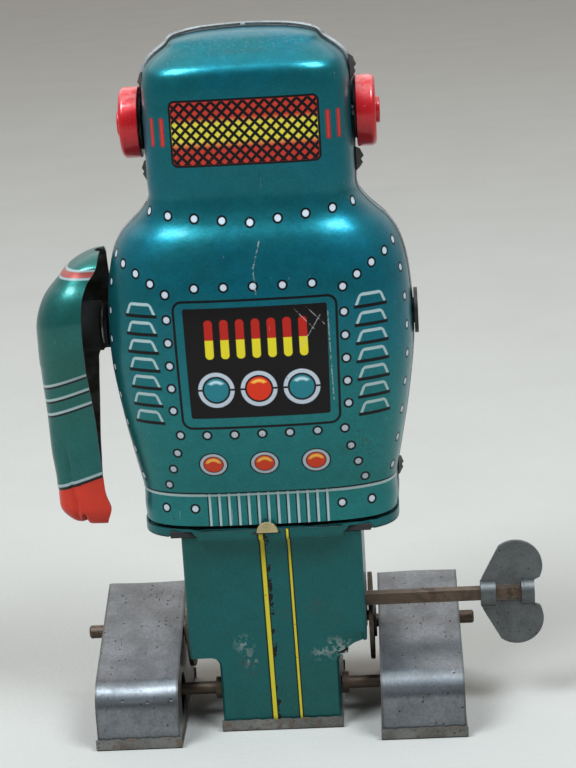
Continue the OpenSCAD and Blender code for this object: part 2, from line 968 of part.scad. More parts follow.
front_shell();
rear_shell();
torso_floor();
seam_tabs();
ear_left();
ear_right();
ear_washers();
shoulder_bush_left();
shoulder_bush_right();
shoulder_washer();
arm_shell();
arm_hub();
arm_pivot();
leg_front_panel();
leg_rear_panel();
leg_sole();
frame_tab();
motor_plate_left();
motor_plate_right();
frame_pillars();
guide_rod();
rod_collars();
mainspring();
spring_post();
winding_shaft();
key_wing();
ratchet_wheel();
great_wheel();
click();
click_rivet();
click_spring();
second_arbor();
second_pinion();
second_wheel();
escape_arbor();
escape_pinion();
escape_wheel();
anchor();
anchor_arbor();
crank_axle();
crank_pinion();
crank_disc_left();
crank_disc_right();
crank_pin_left();
crank_pin_right();
crank_collars();
foot_cover_left();
foot_cover_right();
foot_sole_left();
foot_sole_right();
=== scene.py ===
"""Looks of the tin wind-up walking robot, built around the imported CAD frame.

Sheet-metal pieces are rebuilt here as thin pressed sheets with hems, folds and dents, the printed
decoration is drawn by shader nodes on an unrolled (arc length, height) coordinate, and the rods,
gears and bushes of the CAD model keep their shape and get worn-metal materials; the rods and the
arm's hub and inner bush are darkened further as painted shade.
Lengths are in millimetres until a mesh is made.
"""
import math

import bmesh
import bpy
import numpy as np
from mathutils import Matrix, Vector
from mathutils.geometry import tessellate_polygon


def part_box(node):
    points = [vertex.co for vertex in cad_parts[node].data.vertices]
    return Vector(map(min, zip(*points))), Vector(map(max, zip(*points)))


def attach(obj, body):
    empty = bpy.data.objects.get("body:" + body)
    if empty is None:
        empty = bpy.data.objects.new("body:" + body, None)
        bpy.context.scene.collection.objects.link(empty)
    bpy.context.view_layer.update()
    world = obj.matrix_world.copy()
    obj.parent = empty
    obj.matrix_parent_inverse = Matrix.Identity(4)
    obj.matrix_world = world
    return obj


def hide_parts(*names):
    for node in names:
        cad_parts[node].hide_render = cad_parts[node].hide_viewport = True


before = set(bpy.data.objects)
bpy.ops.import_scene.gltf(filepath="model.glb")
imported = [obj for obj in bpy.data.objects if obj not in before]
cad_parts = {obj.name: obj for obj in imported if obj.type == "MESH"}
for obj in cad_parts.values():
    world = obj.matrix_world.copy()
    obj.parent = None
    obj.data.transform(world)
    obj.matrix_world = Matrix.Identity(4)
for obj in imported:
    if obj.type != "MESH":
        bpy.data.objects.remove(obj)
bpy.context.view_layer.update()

MM = 0.001

# ---- Driving dimensions, in millimetres ----

SKIN = 0.4
SEAM_GAP = 0.1
BEAD_R = 0.7
RIM_PROUD = 0.35
RIM_LIFT = 1.0
REAR_DEPTH = 0.97
DOME_Z = 128
CROWN_Z = 140

# Body outline from the lower rim to the crown: height, half width, front depth, squareness
BODY_ROWS = [
    [44.4, 25.3, 14.8, 3.6],
    [47.0, 25.5, 14.8, 3.6],
    [50.8, 25.5, 15.0, 3.5],
    [57.0, 26.7, 17.4, 3.2],
    [66.0, 28.4, 19.6, 3.0],
    [78.0, 29.9, 20.2, 3.0],
    [90.0, 29.6, 19.8, 3.0],
    [97.0, 28.4, 18.8, 2.9],
    [101.5, 26.2, 17.6, 2.9],
    [105.2, 22.4, 15.8, 3.2],
    [108.5, 20.2, 14.8, 3.8],
    [113.0, 20.1, 14.6, 4.0],
    [127.0, 20.0, 14.5, 4.0],
    [131.5, 19.7, 14.3, 3.9],
    [133.6, 19.1, 13.8, 3.7],
    [135.2, 17.7, 12.4, 3.4],
    [137.1, 15.1, 10.2, 3.2],
    [138.3, 14.0, 8.5, 3.4],
    [139.0, 12.0, 6.9, 3.4],
    [139.6, 8.4, 4.6, 3.0],
    [139.9, 3.6, 2.2, 2.4],
    [140.0, 0.4, 0.4, 2.0],
]
CUFF_V = 52.0
# Arm outline from the knuckles to the shoulder cap: height, half depth, reach out from the inner plane,
# squareness, forward shift, and how far the front and the rear edge stand back from that plane
ARM_PLANE = 30.8
ARM_ROWS = [
    [42.4, 1.8, 6.4, 2.2, 1.7, 2.8, 4.2],
    [43.0, 4.0, 9.6, 2.6, 1.7, 2.4, 4.1],
    [45.4, 5.1, 12.2, 2.8, 1.6, 2.3, 4.1],
    [48.4, 5.4, 12.6, 2.9, 1.3, 2.3, 4.0],
    [52.0, 5.8, 12.5, 3.0, 0.9, 2.4, 4.0],
    [58.0, 6.4, 13.1, 3.0, 0.3, 2.7, 4.0],
    [65.0, 7.1, 13.3, 3.0, -0.2, 3.0, 3.7],
    [72.0, 8.2, 13.6, 2.9, -0.1, 3.5, 3.4],
    [75.2, 9.1, 13.7, 2.8, 0, 3.7, 3.0],
    [76.4, 9.5, 13.8, 2.8, 0, 3.7, 0.4],
    [80.0, 10.7, 13.8, 2.7, 0, 3.6, 0],
    [85.0, 11.3, 13.6, 2.6, 0, 3.5, 0],
    [89.6, 10.4, 11.9, 2.6, 0, 3.2, 0],
    [92.8, 8.9, 9.2, 2.8, 0, 2.2, 0],
    [94.6, 8.2, 7.7, 2.9, 0, 0.9, 0],
    [95.9, 7.9, 6.2, 2.6, 0, 0.2, 0],
    [97.0, 6.6, 4.4, 2.3, 0, 0, 0],
    [97.8, 4.6, 2.5, 2.1, 0, 0, 0],
    [98.1, 2.0, 1.2, 2.0, 0, 0, 0],
]


def span(node):
    """Lowest and highest corner of a CAD node, in millimetres."""
    low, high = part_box(node)
    return np.array(low) / MM, np.array(high) / MM


# ---- Mesh helpers ----

def mesh_object(name, verts, faces, face_slots=None, litho=None, sharp=38, smooth=True):
    """Object from millimetre points; litho holds the print coordinates of each point."""
    mesh = bpy.data.meshes.new(name)
    mesh.from_pydata([tuple(v) for v in np.asarray(verts) * MM], [], [tuple(map(int, f)) for f in faces])
    if face_slots is not None:
        mesh.polygons.foreach_set("material_index", np.array(face_slots, np.int32))
    if litho is not None:
        layer = mesh.attributes.new("litho", "FLOAT_VECTOR", "POINT")
        layer.data.foreach_set("vector", np.asarray(litho, np.float32).ravel())
    bm = bmesh.new()
    bm.from_mesh(mesh)
    bmesh.ops.recalc_face_normals(bm, faces=bm.faces)
    bm.to_mesh(mesh)
    bm.free()
    if smooth:
        mesh.shade_smooth()
        mesh.set_sharp_from_angle(angle=math.radians(sharp))
    obj = bpy.data.objects.new(name, mesh)
    bpy.context.scene.collection.objects.link(obj)
    return obj


def add_bevel(obj, width, segments=2, angle=35):
    """Rounds the sharp edges of a piece by a width in millimetres."""
    bevel = obj.modifiers.new("edge", "BEVEL")
    bevel.width = width * MM
    bevel.segments = segments
    bevel.limit_method = "ANGLE"
    bevel.angle_limit = math.radians(angle)
    bevel.harden_normals = False
    return obj


def install(obj, body, materials, replaces=()):
    """Gives a piece its materials and its body, and hides the CAD nodes it stands for."""
    for material in materials:
        obj.data.materials.append(material)
    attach(obj, body)
    if replaces:
        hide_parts(*replaces)
    return obj


def sheet(name, grid, thickness, litho=None, sharp=38):
    """Closed sheet whose outer side is a grid of points [row, column, xyz]; its inside uses slot 1."""
    rows, cols = grid.shape[:2]
    normal = np.cross(np.gradient(grid, axis=0), np.gradient(grid, axis=1))
    normal /= np.linalg.norm(normal, axis=2, keepdims=True) + 1e-12
    points = np.concatenate([grid.reshape(-1, 3), (grid - thickness * normal).reshape(-1, 3)])
    index = np.arange(rows * cols).reshape(rows, cols)
    cells = np.stack([index[:-1, :-1], index[1:, :-1], index[1:, 1:], index[:-1, 1:]], axis=-1).reshape(-1, 4)
    loop = np.concatenate([index[0, :-1], index[:-1, -1], index[-1, :0:-1], index[:0:-1, 0]])
    after = np.roll(loop, -1)
    back = rows * cols
    border = np.stack([loop, after, after + back, loop + back], axis=-1)
    faces = np.concatenate([cells, cells[:, ::-1] + back, border])
    slots = [0] * len(cells) + [1] * len(cells) + [1] * len(border)
    both = None if litho is None else np.concatenate([litho.reshape(-1, 3)] * 2)
    return mesh_object(name, points, faces, slots, both, sharp)


def tube(name, path, radius, sides=10, closed=False):
    """Round bead along a path of points."""
    path = np.asarray(path, float)
    along = np.gradient(path, axis=0)
    if closed:
        along = np.roll(path, -1, axis=0) - np.roll(path, 1, axis=0)
    along /= np.linalg.norm(along, axis=1, keepdims=True)
    guide = np.array([0.0, 1.0, 0.0]) if abs(along[:, 1]).max() < 0.9 else np.array([1.0, 0.0, 0.0])
    side = np.cross(along, guide)
    side /= np.linalg.norm(side, axis=1, keepdims=True)
    up = np.cross(side, along)
    turn = np.linspace(0, 2 * math.pi, sides, endpoint=False)
    rings = path[:, None] + radius * (np.cos(turn)[None, :, None] * side[:, None] + np.sin(turn)[None, :, None] * up[:, None])
    index = np.arange(len(path) * sides).reshape(len(path), sides)
    if closed:
        index = np.vstack([index, index[:1]])
    faces = [
        (index[i, k], index[i, (k + 1) % sides], index[i + 1, (k + 1) % sides], index[i + 1, k])
        for i in range(len(index) - 1) for k in range(sides)
    ]
    if not closed:
        faces += [tuple(index[0]), tuple(index[-1])]
    return mesh_object(name, rings.reshape(-1, 3), faces)


def lathe(name, profile, centre, sign=1, segments=96):
    """Turned piece about the X direction; the profile is [x, radius] from one end of the axis to the other."""
    turn = np.linspace(0, 2 * math.pi, segments, endpoint=False)
    rings = [[(sign * x, centre[0] + r * math.cos(t), centre[1] + r * math.sin(t)) for t in turn] for x, r in profile]
    index = np.arange(len(profile) * segments).reshape(len(profile), segments)
    faces = [
        (index[i, k], index[i, (k + 1) % segments], index[i + 1, (k + 1) % segments], index[i + 1, k])
        for i in range(len(profile) - 1) for k in range(segments)
    ]
    faces += [tuple(index[0]), tuple(index[-1])]
    return mesh_object(name, np.array(rings).reshape(-1, 3), faces)


def prism(name, outline, holes, place, low, high):
    """Flat plate with holes; place turns (a, b, height) into a point."""
    loops = [list(outline)] + [list(h) for h in holes]
    flat = [p for loop in loops for p in loop]
    caps = tessellate_polygon([[Vector((a, b, 0)) for a, b in loop] for loop in loops])
    count = len(flat)
    verts = [place(a, b, low) for a, b in flat] + [place(a, b, high) for a, b in flat]
    faces = [tuple(t) for t in caps] + [tuple(i + count for i in t) for t in caps]
    start = 0
    for loop in loops:
        for i in range(len(loop)):
            a, b = start + i, start + (i + 1) % len(loop)
            faces.append((a, b, b + count, a + count))
        start += len(loop)
    return mesh_object(name, verts, faces)


def arc(centre, radius, start, end, steps):
    """Points on an arc, angles in degrees."""
    turns = np.radians(np.linspace(start, end, steps + 1))
    return [(centre[0] + radius * math.cos(t), centre[1] + radius * math.sin(t)) for t in turns]


# ---- Section curves ----

def fine_rows(rows, steps):
    """Smooth curve through the rows of a table, every gap cut into steps."""
    rows = np.array(rows, float)
    padded = np.vstack([rows[:1], rows, rows[-1:]])
    out = []
    for i in range(len(rows) - 1):
        a, b, c, d = padded[i:i + 4]
        for k in range(steps):
            t = k / steps
            out.append(0.5 * (2 * b + (c - a) * t + (2 * a - 5 * b + 4 * c - d) * t ** 2 + (3 * b - a - 3 * c + d) * t ** 3))
    out.append(rows[-1])
    return np.array(out)


def section(row, columns, inset):
    """One level of a half shell, evenly spaced along its arc: points (x, y) and arc length from the middle."""
    turn = np.linspace(0, math.pi, 721)
    power = 2 / row[3]
    width, depth = max(row[1] - inset, 0.05), max(row[2] - inset, 0.05)
    x = width * np.sign(np.cos(turn)) * np.abs(np.cos(turn)) ** power
    out = np.abs(np.sin(turn)) ** power
    edge = np.where(turn < math.pi / 2, row[5], row[6]) if len(row) > 5 else 0
    y = -SEAM_GAP - depth * out - edge * (1 - out)
    run = np.concatenate([[0], np.cumsum(np.hypot(np.diff(x), np.diff(y)))])
    even = np.linspace(0, run[-1], columns + 1)
    return np.interp(even, run, x), np.interp(even, run, y), run[-1] / 2 - even


def half_shell(rows, columns, inset=0.0, steps=7):
    """Grid of a half shell that bulges to -Y, and its print coordinates."""
    grid, litho = [], []
    for row in fine_rows(rows, steps):
        x, y, u = section(row, columns, inset)
        z = row[0] - inset * min(max((row[0] - DOME_Z) / (CROWN_Z - DOME_Z), 0), 1)
        grid.append(np.stack([x, y, np.full_like(x, z)], axis=-1))
        litho.append(np.stack([u, np.full_like(u, row[0]), y], axis=-1))
    return np.array(grid), np.array(litho)


# ---- Shader building ----

class Value:
    """A number in a shader tree that can be added, multiplied and compared."""

    def __init__(self, shade, socket):
        self.shade, self.socket = shade, socket

    def __add__(self, other):
        return self.shade.math("ADD", self, other)

    def __sub__(self, other):
        return self.shade.math("SUBTRACT", self, other)

    def __rsub__(self, other):
        return self.shade.math("SUBTRACT", other, self)

    def __mul__(self, other):
        return self.shade.math("MULTIPLY", self, other)

    def __truediv__(self, other):
        return self.shade.math("DIVIDE", self, other)

    def __abs__(self):
        return self.shade.math("ABSOLUTE", self)

    __radd__ = __add__
    __rmul__ = __mul__


class Shade:
    """One material under construction."""

    def __init__(self, name):
        self.material = bpy.data.materials.new(name)
        self.material.use_nodes = True
        self.tree = self.material.node_tree
        self.tree.nodes.clear()
        self.bsdf = self.tree.nodes.new("ShaderNodeBsdfPrincipled")
        output = self.tree.nodes.new("ShaderNodeOutputMaterial")
        self.tree.links.new(self.bsdf.outputs[0], output.inputs["Surface"])
        place = self.tree.nodes.new("ShaderNodeTexCoord")
        scale = self.tree.nodes.new("ShaderNodeVectorMath")
        scale.operation = "SCALE"
        scale.inputs["Scale"].default_value = 1 / MM
        self.tree.links.new(place.outputs["Object"], scale.inputs[0])
        self.here = scale.outputs[0]

    def put(self, socket, value):
        if isinstance(value, Value):
            value = value.socket
        if isinstance(value, bpy.types.NodeSocket):
            self.tree.links.new(value, socket)
        elif isinstance(value, (tuple, list)):
            socket.default_value = (*value, 1.0) if len(value) == 3 and len(socket.default_value) == 4 else value
        else:
            socket.default_value = value

    def math(self, operation, *values, clamp=False):
        node = self.tree.nodes.new("ShaderNodeMath")
        node.operation = operation
        node.use_clamp = clamp
        for socket, value in zip(node.inputs, values):
            self.put(socket, value)
        return Value(self, node.outputs[0])

    def low(self, a, b):
        return self.math("MINIMUM", a, b)

    def high(self, a, b):
        return self.math("MAXIMUM", a, b)

    def length(self, a, b):
        return self.math("SQRT", a * a + b * b)

    def cover(self, distance, soft=0.07):
        """1 inside a shape and 0 outside, with a soft edge."""
        return self.math("MULTIPLY_ADD", distance, -0.5 / soft, 0.5, clamp=True)

    def ramp(self, value, start, end):
        """0 before start and 1 after end, smoothly."""
        node = self.tree.nodes.new("ShaderNodeMapRange")
        node.interpolation_type = "SMOOTHSTEP"
        self.put(node.inputs["Value"], value)
        node.inputs["From Min"].default_value = start
        node.inputs["From Max"].default_value = end
        return Value(self, node.outputs[0])

    def mix(self, share, a, b):
        """Colour a where share is 0 and b where it is 1."""
        node = self.tree.nodes.new("ShaderNodeMix")
        node.data_type = "RGBA"
        self.put(node.inputs[0], share)
        self.put(node.inputs[6], a)
        self.put(node.inputs[7], b)
        return node.outputs[2]

    def blend(self, share, a, b):
        """Number a where share is 0 and b where it is 1."""
        node = self.tree.nodes.new("ShaderNodeMix")
        self.put(node.inputs[0], share)
        self.put(node.inputs[2], a)
        self.put(node.inputs[3], b)
        return Value(self, node.outputs[0])

    def stretch(self, factors, turn=(0, 0, 0)):
        node = self.tree.nodes.new("ShaderNodeMapping")
        self.put(node.inputs["Vector"], self.here)
        node.inputs["Rotation"].default_value = [math.radians(t) for t in turn]
        node.inputs["Scale"].default_value = factors
        return node.outputs[0]

    def noise(self, scale, detail=3.0, rough=0.55, at=None):
        node = self.tree.nodes.new("ShaderNodeTexNoise")
        self.put(node.inputs["Vector"], at or self.here)
        node.inputs["Scale"].default_value = scale
        node.inputs["Detail"].default_value = detail
        node.inputs["Roughness"].default_value = rough
        return Value(self, node.outputs["Fac"])

    def cells(self, scale, at=None):
        """Distance to the nearest random point, and a random number for its cell."""
        node = self.tree.nodes.new("ShaderNodeTexVoronoi")
        self.put(node.inputs["Vector"], at or self.here)
        node.inputs["Scale"].default_value = scale
        split = self.tree.nodes.new("ShaderNodeSeparateColor")
        self.tree.links.new(node.outputs["Color"], split.inputs[0])
        return Value(self, node.outputs["Distance"]), Value(self, split.outputs[0])

    def specks(self, scale, share, size, at=None):
        """Small random spots in a share of the cells."""
        distance, chance = self.cells(scale, at)
        return self.ramp(distance, size, size * 0.6) * self.ramp(chance, 1 - share, 1 - share + 0.02)

    def litho(self):
        """Print coordinates: arc length from the middle, height, and depth, in millimetres."""
        node = self.tree.nodes.new("ShaderNodeAttribute")
        node.attribute_name = "litho"
        split = self.tree.nodes.new("ShaderNodeSeparateXYZ")
        self.tree.links.new(node.outputs["Vector"], split.inputs[0])
        return [Value(self, s) for s in split.outputs]

    def axes(self):
        split = self.tree.nodes.new("ShaderNodeSeparateXYZ")
        self.tree.links.new(self.here, split.inputs[0])
        return [Value(self, s) for s in split.outputs]

    def facing(self):
        """Components of the surface normal in the piece's own directions."""
        node = self.tree.nodes.new("ShaderNodeTexCoord")
        split = self.tree.nodes.new("ShaderNodeSeparateXYZ")
        self.tree.links.new(node.outputs["Normal"], split.inputs[0])
        return [Value(self, s) for s in split.outputs]

    # Distances to flat shapes, negative inside

    def disc(self, u, v, radius, centre=(0, 0)):
        return self.length(u - centre[0], v - centre[1]) - radius

    def panel(self, u, v, half_w, half_h, radius, centre=(0, 0)):
        a = abs(u - centre[0]) - (half_w - radius)
        b = abs(v - centre[1]) - (half_h - radius)
        outside = self.length(self.high(a, 0), self.high(b, 0))
        return outside + self.low(self.high(a, b), 0) - radius

    def stroke(self, u, v, start, end, width):
        """A straight line from start to end."""
        du, dv = end[0] - start[0], end[1] - start[1]
        a, b = u - start[0], v - start[1]
        t = self.math("MULTIPLY", a * du + b * dv, 1 / (du * du + dv * dv), clamp=True)
        return self.length(a - t * du, b - t * dv) - width / 2

    def nearest(self, value, start, step, count):
        """Number of the nearest item in an evenly spaced row."""
        number = self.math("ROUND", (value - start) * (1 / step))
        return self.low(self.high(number, 0), count - 1)

    def bump(self, height, depth, detail=1.0):
        """Bump of a height field, depth in millimetres."""
        node = self.tree.nodes.new("ShaderNodeBump")
        node.inputs["Distance"].default_value = depth * MM
        node.inputs["Strength"].default_value = detail
        self.put(node.inputs["Height"], height)
        return node.outputs[0]

    def finish(self, **sockets):
        for name, value in sockets.items():
            self.put(self.bsdf.inputs[name.replace("_", " ")], value)
        return self.material


class Print(Shade):
    """Lacquered tinplate: a metallic ground colour with inks printed on top."""

    def __init__(self, name, ground):
        super().__init__(name)
        self.worn = self.noise(0.045, 3)
        fine = self.noise(2.4, 3, 0.75)
        cloud = self.noise(0.35, 4)
        self.colour = self.mix(self.ramp(self.worn, 0.38, 0.62), ground[0], ground[1])
        shade = fine * 0.75 + cloud * 0.30 + 0.44
        self.shading = shade
        self.colour = self.scaled(self.colour, shade)
        self.metal = Value(self, self.constant(GROUND_METAL))
        self.fine = fine

    def constant(self, number):
        node = self.tree.nodes.new("ShaderNodeValue")
        node.outputs[0].default_value = number
        return node.outputs[0]

    def scaled(self, colour, factor):
        node = self.tree.nodes.new("ShaderNodeVectorMath")
        node.operation = "SCALE"
        self.put(node.inputs[0], colour)
        self.put(node.inputs["Scale"], factor)
        return node.outputs[0]

    def ink(self, colour, distance, metal=0.1, soft=0.07, strength=1.0):
        """Prints a colour inside a distance field."""
        mask = self.cover(distance, soft)
        if strength != 1.0:
            mask = mask * strength
        return self.stain(colour, mask, metal)

    def stain(self, colour, mask, metal=0.1):
        self.colour = self.mix(mask, self.colour, colour)
        self.metal = self.blend(mask, self.metal, metal)
        return mask

    def specked(self, share, size, scale, colour=None, patch=0.0):
        """Rust specks, denser where a slow noise is high."""
        spots = self.specks(scale, share, size)
        if patch:
            spots = spots * self.ramp(self.noise(0.06, 2), patch, patch + 0.12)
        self.stain(colour or RUST, spots * 0.85, 0.0)
        return spots

    def scratched(self, amount=1.0):
        """Fine scratches that let the bare tin show."""
        lines = None
        for turn, scale in (((0, 12, 0), (2.2, 2.2, 0.05)), ((0, -38, 8), (2.6, 2.6, 0.08))):
            field = self.noise(1.0, 2, 0.6, self.stretch(scale, turn))
            line = self.ramp(field, 0.735, 0.76)
            lines = line if lines is None else self.high(lines, line)
        gate = self.ramp(self.noise(0.12, 2, 0.5), 0.52, 0.60)
        self.stain(BARE, lines * gate * (0.6 * amount), 0.8)
        return lines

    def lacquer(self, rough=0.34, coat=0.16):
        """Final shader of a lacquered sheet."""
        height = self.fine * 0.25 + self.noise(0.7, 3) * 0.9
        return self.finish(
            Base_Color=self.colour, Metallic=self.metal,
            Roughness=self.noise(0.5, 4) * 0.16 + (rough - 0.08),
            Coat_Weight=coat, Coat_Roughness=0.14, Specular_IOR_Level=0.10,
            Normal=self.bump(height, 0.035),
        )


# ---- Colours, linear ----

GROUND_METAL = 0.72
TEAL = ((0.006, 0.136, 0.188), (0.009, 0.128, 0.150))
ARM_TEAL = ((0.010, 0.108, 0.112), (0.016, 0.112, 0.098))
BLACK_INK = (0.004, 0.004, 0.005)
PALE_INK = (0.40, 0.43, 0.47)
GREY_INK = (0.30, 0.38, 0.38)
RED_INK = (0.39, 0.016, 0.010)
YELLOW_INK = (0.64, 0.52, 0.02)
STRIPE_INK = (0.50, 0.42, 0.025)
BARE = (0.50, 0.49, 0.47)
RUST = (0.045, 0.022, 0.012)


def rivet_rows(s, u, v, side):
    """Smallest distance to the centre of any printed rivet."""
    rows = []
    i = s.nearest(side, 0, 5.3, 5)
    rows.append((side - i * 5.3, v - (104.9 + 0.53 * i)))
    i = s.nearest(side, 17, 3.4, 5)
    rows.append((side - (17 + 2.8 * i + 0.15 * i * i), v - (92.2 + 2.1 * i - 0.115 * i * i)))
    i = s.nearest(side, 0, 5.6, 3)
    rows.append((side - i * 5.6, v - 93.3))
    i = s.nearest(v, 87.4, -4.5, 5)
    rows.append((side - 17, v - (87.4 - 4.5 * i)))
    i = s.nearest(side, 0, 5.33, 4)
    rows.append((side - i * 5.33, v - 64.3))
    i = s.nearest(v, 60.4, -3.65, 3)
    rows.append((side - (17 + 1.25 * i), v - (60.4 - 3.65 * i)))
    i = s.nearest(side, 14.5, 6.1, 2)
    rows.append((side - (14.5 + 6.1 * i), v - 48.0))
    i = s.nearest(v, 93.5, -5.65, 8)
    level = v - 82.2
    rows.append((side - (32.6 - 0.0072 * level * level), v - (93.5 - 5.65 * i)))
    distance = None
    for a, b in rows:
        reach = s.length(a, b)
        distance = reach if distance is None else s.low(distance, reach)
    return distance


def print_rivets(s, distance):
    s.ink(BLACK_INK, distance - 1.04)
    s.ink(PALE_INK, distance - 0.62)


def print_visor(s, u, v):
    """Grille window of the face: three colour bands behind a diagonal mesh."""
    window = s.panel(u, v, 14.3, 6.35, 1.3, (0, 121.95))
    band = abs(v - 122.1) - 2.15
    patchy = s.noise(0.9, 2)
    s.ink(BLACK_INK, window)
    glass = s.cover(window + 0.45)
    red = s.mix(patchy, (0.55, 0.035, 0.02), (0.30, 0.03, 0.02))
    yellow = s.mix(patchy, (0.68, 0.56, 0.05), (0.52, 0.44, 0.05))
    orange = s.mix(patchy, (0.64, 0.20, 0.05), (0.54, 0.22, 0.05))
    colour = s.mix(s.cover(abs(v - 122.0) - 2.5, 0.35), red, orange)
    colour = s.mix(s.cover(band + 0.25, 0.3), colour, yellow)
    s.stain(colour, glass, 0.25)
    pitch = 2.02
    across_mesh = s.math("PINGPONG", u + v * 0.98 + 200, pitch / 2)
    along_mesh = s.math("PINGPONG", u - v * 0.98 + 400, pitch / 2)
    wire = s.low(across_mesh, along_mesh) * 0.714 - 0.29
    s.stain(BLACK_INK, s.cover(wire, 0.07) * glass, 0.1)
    return window


def print_side_marks(s, side, v):
    for centre in (15.9, 18.3):
        bar = s.panel(side, v, 0.42, 2.7, 0.35, (centre, 122.3))
        s.ink((0.20, 0.02, 0.02), bar - 0.12)
        s.ink((0.42, 0.035, 0.03), bar + 0.14)


def print_chest(s, u, v):
    """Instrument panel: a framed black field with seven gauges and three dials."""
    tilt = (v - 78) * 0.018
    wide = abs(u) - tilt
    s.ink(BLACK_INK, abs(s.panel(wide, v, 15.4, 12.5, 1.8, (0, 78.3))) - 0.26)
    s.ink((0.005, 0.004, 0.004), s.panel(wide, v, 13.6, 10.85, 0.5, (0, 78.65)), 0.1)
    i = s.nearest(u, -9, 3, 7)
    bar = s.panel(u - (i * 3 - 9), v, 0.8, 3.8, 0.75, (0, 83.4))
    s.ink(RED_INK, s.high(bar, 83.3 - v), 0.3)
    s.ink(YELLOW_INK, s.high(bar, v - 83.3), 0.3)
    i = s.nearest(u, -8.2, 8.2, 3)
    a, b = u - (i * 8.2 - 8.2), v - 73.5
    reach = s.length(a, b)
    ring = s.high(reach - 3.5, 2.72 - reach)
    s.ink(PALE_INK, s.high(ring, 0.2 - abs(b)))
    middle = s.cover(abs(i - 1) - 0.5, 0.1)
    ball = s.mix(middle, (0.016, 0.15, 0.18), (0.56, 0.030, 0.010))
    glint = s.mix(middle, (0.45, 0.62, 0.66), (0.85, 0.45, 0.06))
    s.stain(ball, s.cover(reach - 2.35), 0.2)
    s.stain(glint, s.cover(s.high(abs(s.length(a, b + 0.15) - 1.75) - 0.28, 0.75 - b + abs(a) * 0.35), 0.2) * 0.9, 0.1)


def print_buttons(s, u, v):
    """Three round buttons under the instrument panel."""
    i = s.nearest(u, -10, 10, 3)
    a, b = u - (i * 10 - 10), (v - 57.9) * 1.12
    reach = s.length(a, b)
    s.ink(BLACK_INK, reach - 2.9)
    s.ink(PALE_INK, reach - 2.62)
    s.ink(BLACK_INK, reach - 2.02)
    s.ink((0.56, 0.045, 0.015), reach - 1.85, 0.2)
    crescent = s.high(reach - 1.5, 1.25 - s.length(a, b + 0.45))
    s.ink((0.85, 0.42, 0.07), s.high(crescent, 0.35 - b), 0.1, 0.18)


def print_louvres(s, side, v):
    """Seven slots printed on each flank."""
    i = s.nearest(v, 88 + 1, -3.55, 7)
    b = v - (88 - 3.55 * i)
    a = abs(side - 22.55)
    radius = 0.7
    slope = a + b * 0.45 - (3.5 - radius)
    top = b - (2.55 - radius)
    arch = s.length(s.high(slope, 0), s.high(top, 0)) + s.low(s.high(slope, top), 0) - radius
    s.ink(GREY_INK, s.high(abs(arch + 0.28) - 0.30, 0.2 - b))
    s.ink(BLACK_INK, s.high(abs(b) - 0.34, a - 3.6))


def print_waist(s, u, v, side):
    """Line round the waist and the ribbed strip in front."""
    ribs = s.panel(u, v, 12.4, 3.6, 0.1, (0, 47.5))
    outer = s.high(12.2 - side, abs(v - 50.8) - 0.27)
    s.ink(BLACK_INK, s.high(12.2 - side, abs(v - 51.2) - 0.22))
    s.ink(GREY_INK, outer)
    i = s.nearest(u, -11.5, 1.93, 13)
    a = u - (i * 1.93 - 11.5)
    s.ink(BLACK_INK, s.high(abs(v - 51.25) - 0.14, side - 12.4))
    s.ink(BLACK_INK, s.high(ribs, abs(a + 0.36) - 0.14))
    s.ink(GREY_INK, s.high(ribs, abs(a) - 0.23))
    s.ink(GREY_INK, s.high(abs(v - 50.75) - 0.2, side - 12.2))


def front_litho():
    s = Print("litho_front", TEAL)
    u, v, _ = s.litho()
    side = abs(u)
    s.colour = s.mix(s.ramp(v, 94, 58) * 0.8, s.colour, s.scaled((0.020, 0.165, 0.158), s.shading))
    print_rivets(s, rivet_rows(s, u, v, side))
    print_visor(s, u, v)
    print_side_marks(s, side, v)
    print_chest(s, u, v)
    print_buttons(s, u, v)
    print_louvres(s, side, v)
    print_waist(s, u, v, side)
    s.scratched()
    rough_edge = s.noise(1.6, 4, 0.7)
    crown = s.ramp(v, 134.5, 138.5) * s.ramp(rough_edge, 0.50, 0.60)
    s.stain((0.10, 0.17, 0.19), crown * 0.3, 0.5)
    for start, end, width in (
        ((1.6, 101.5), (0.2, 96.5), 0.22), ((0.2, 96.5), (0.5, 91.8), 0.16),
        ((12.4, 87.2), (8.5, 81.2), 0.12), ((9.8, 89.0), (13.2, 85.4), 0.10), ((7.6, 88.6), (11.2, 84.6), 0.10),
        ((13.9, 88.0), (14.2, 70.5), 0.16),
    ):
        line = s.stroke(u + (rough_edge - 0.5) * 0.5, v, start, end, width)
        s.stain(BARE, s.cover(line, 0.06) * s.ramp(rough_edge, 0.42, 0.55) * 0.75, 0.6)
    rust_zone = s.cover(s.disc(u, v, 5.5, (19.5, 59.5)), 3.0)
    s.stain(RUST, s.specks(1.5, 0.5, 0.33) * rust_zone * 0.8, 0.0)
    brow = s.cover(s.panel(u, v, 5, 0.25, 0.2, (-1, 136.6)), 0.6)
    s.stain(RUST, s.ramp(s.noise(2.6, 3, 0.7), 0.52, 0.6) * brow * 0.8, 0.0)
    s.specked(0.05, 0.20, 0.9, patch=0.5)
    return s.lacquer()


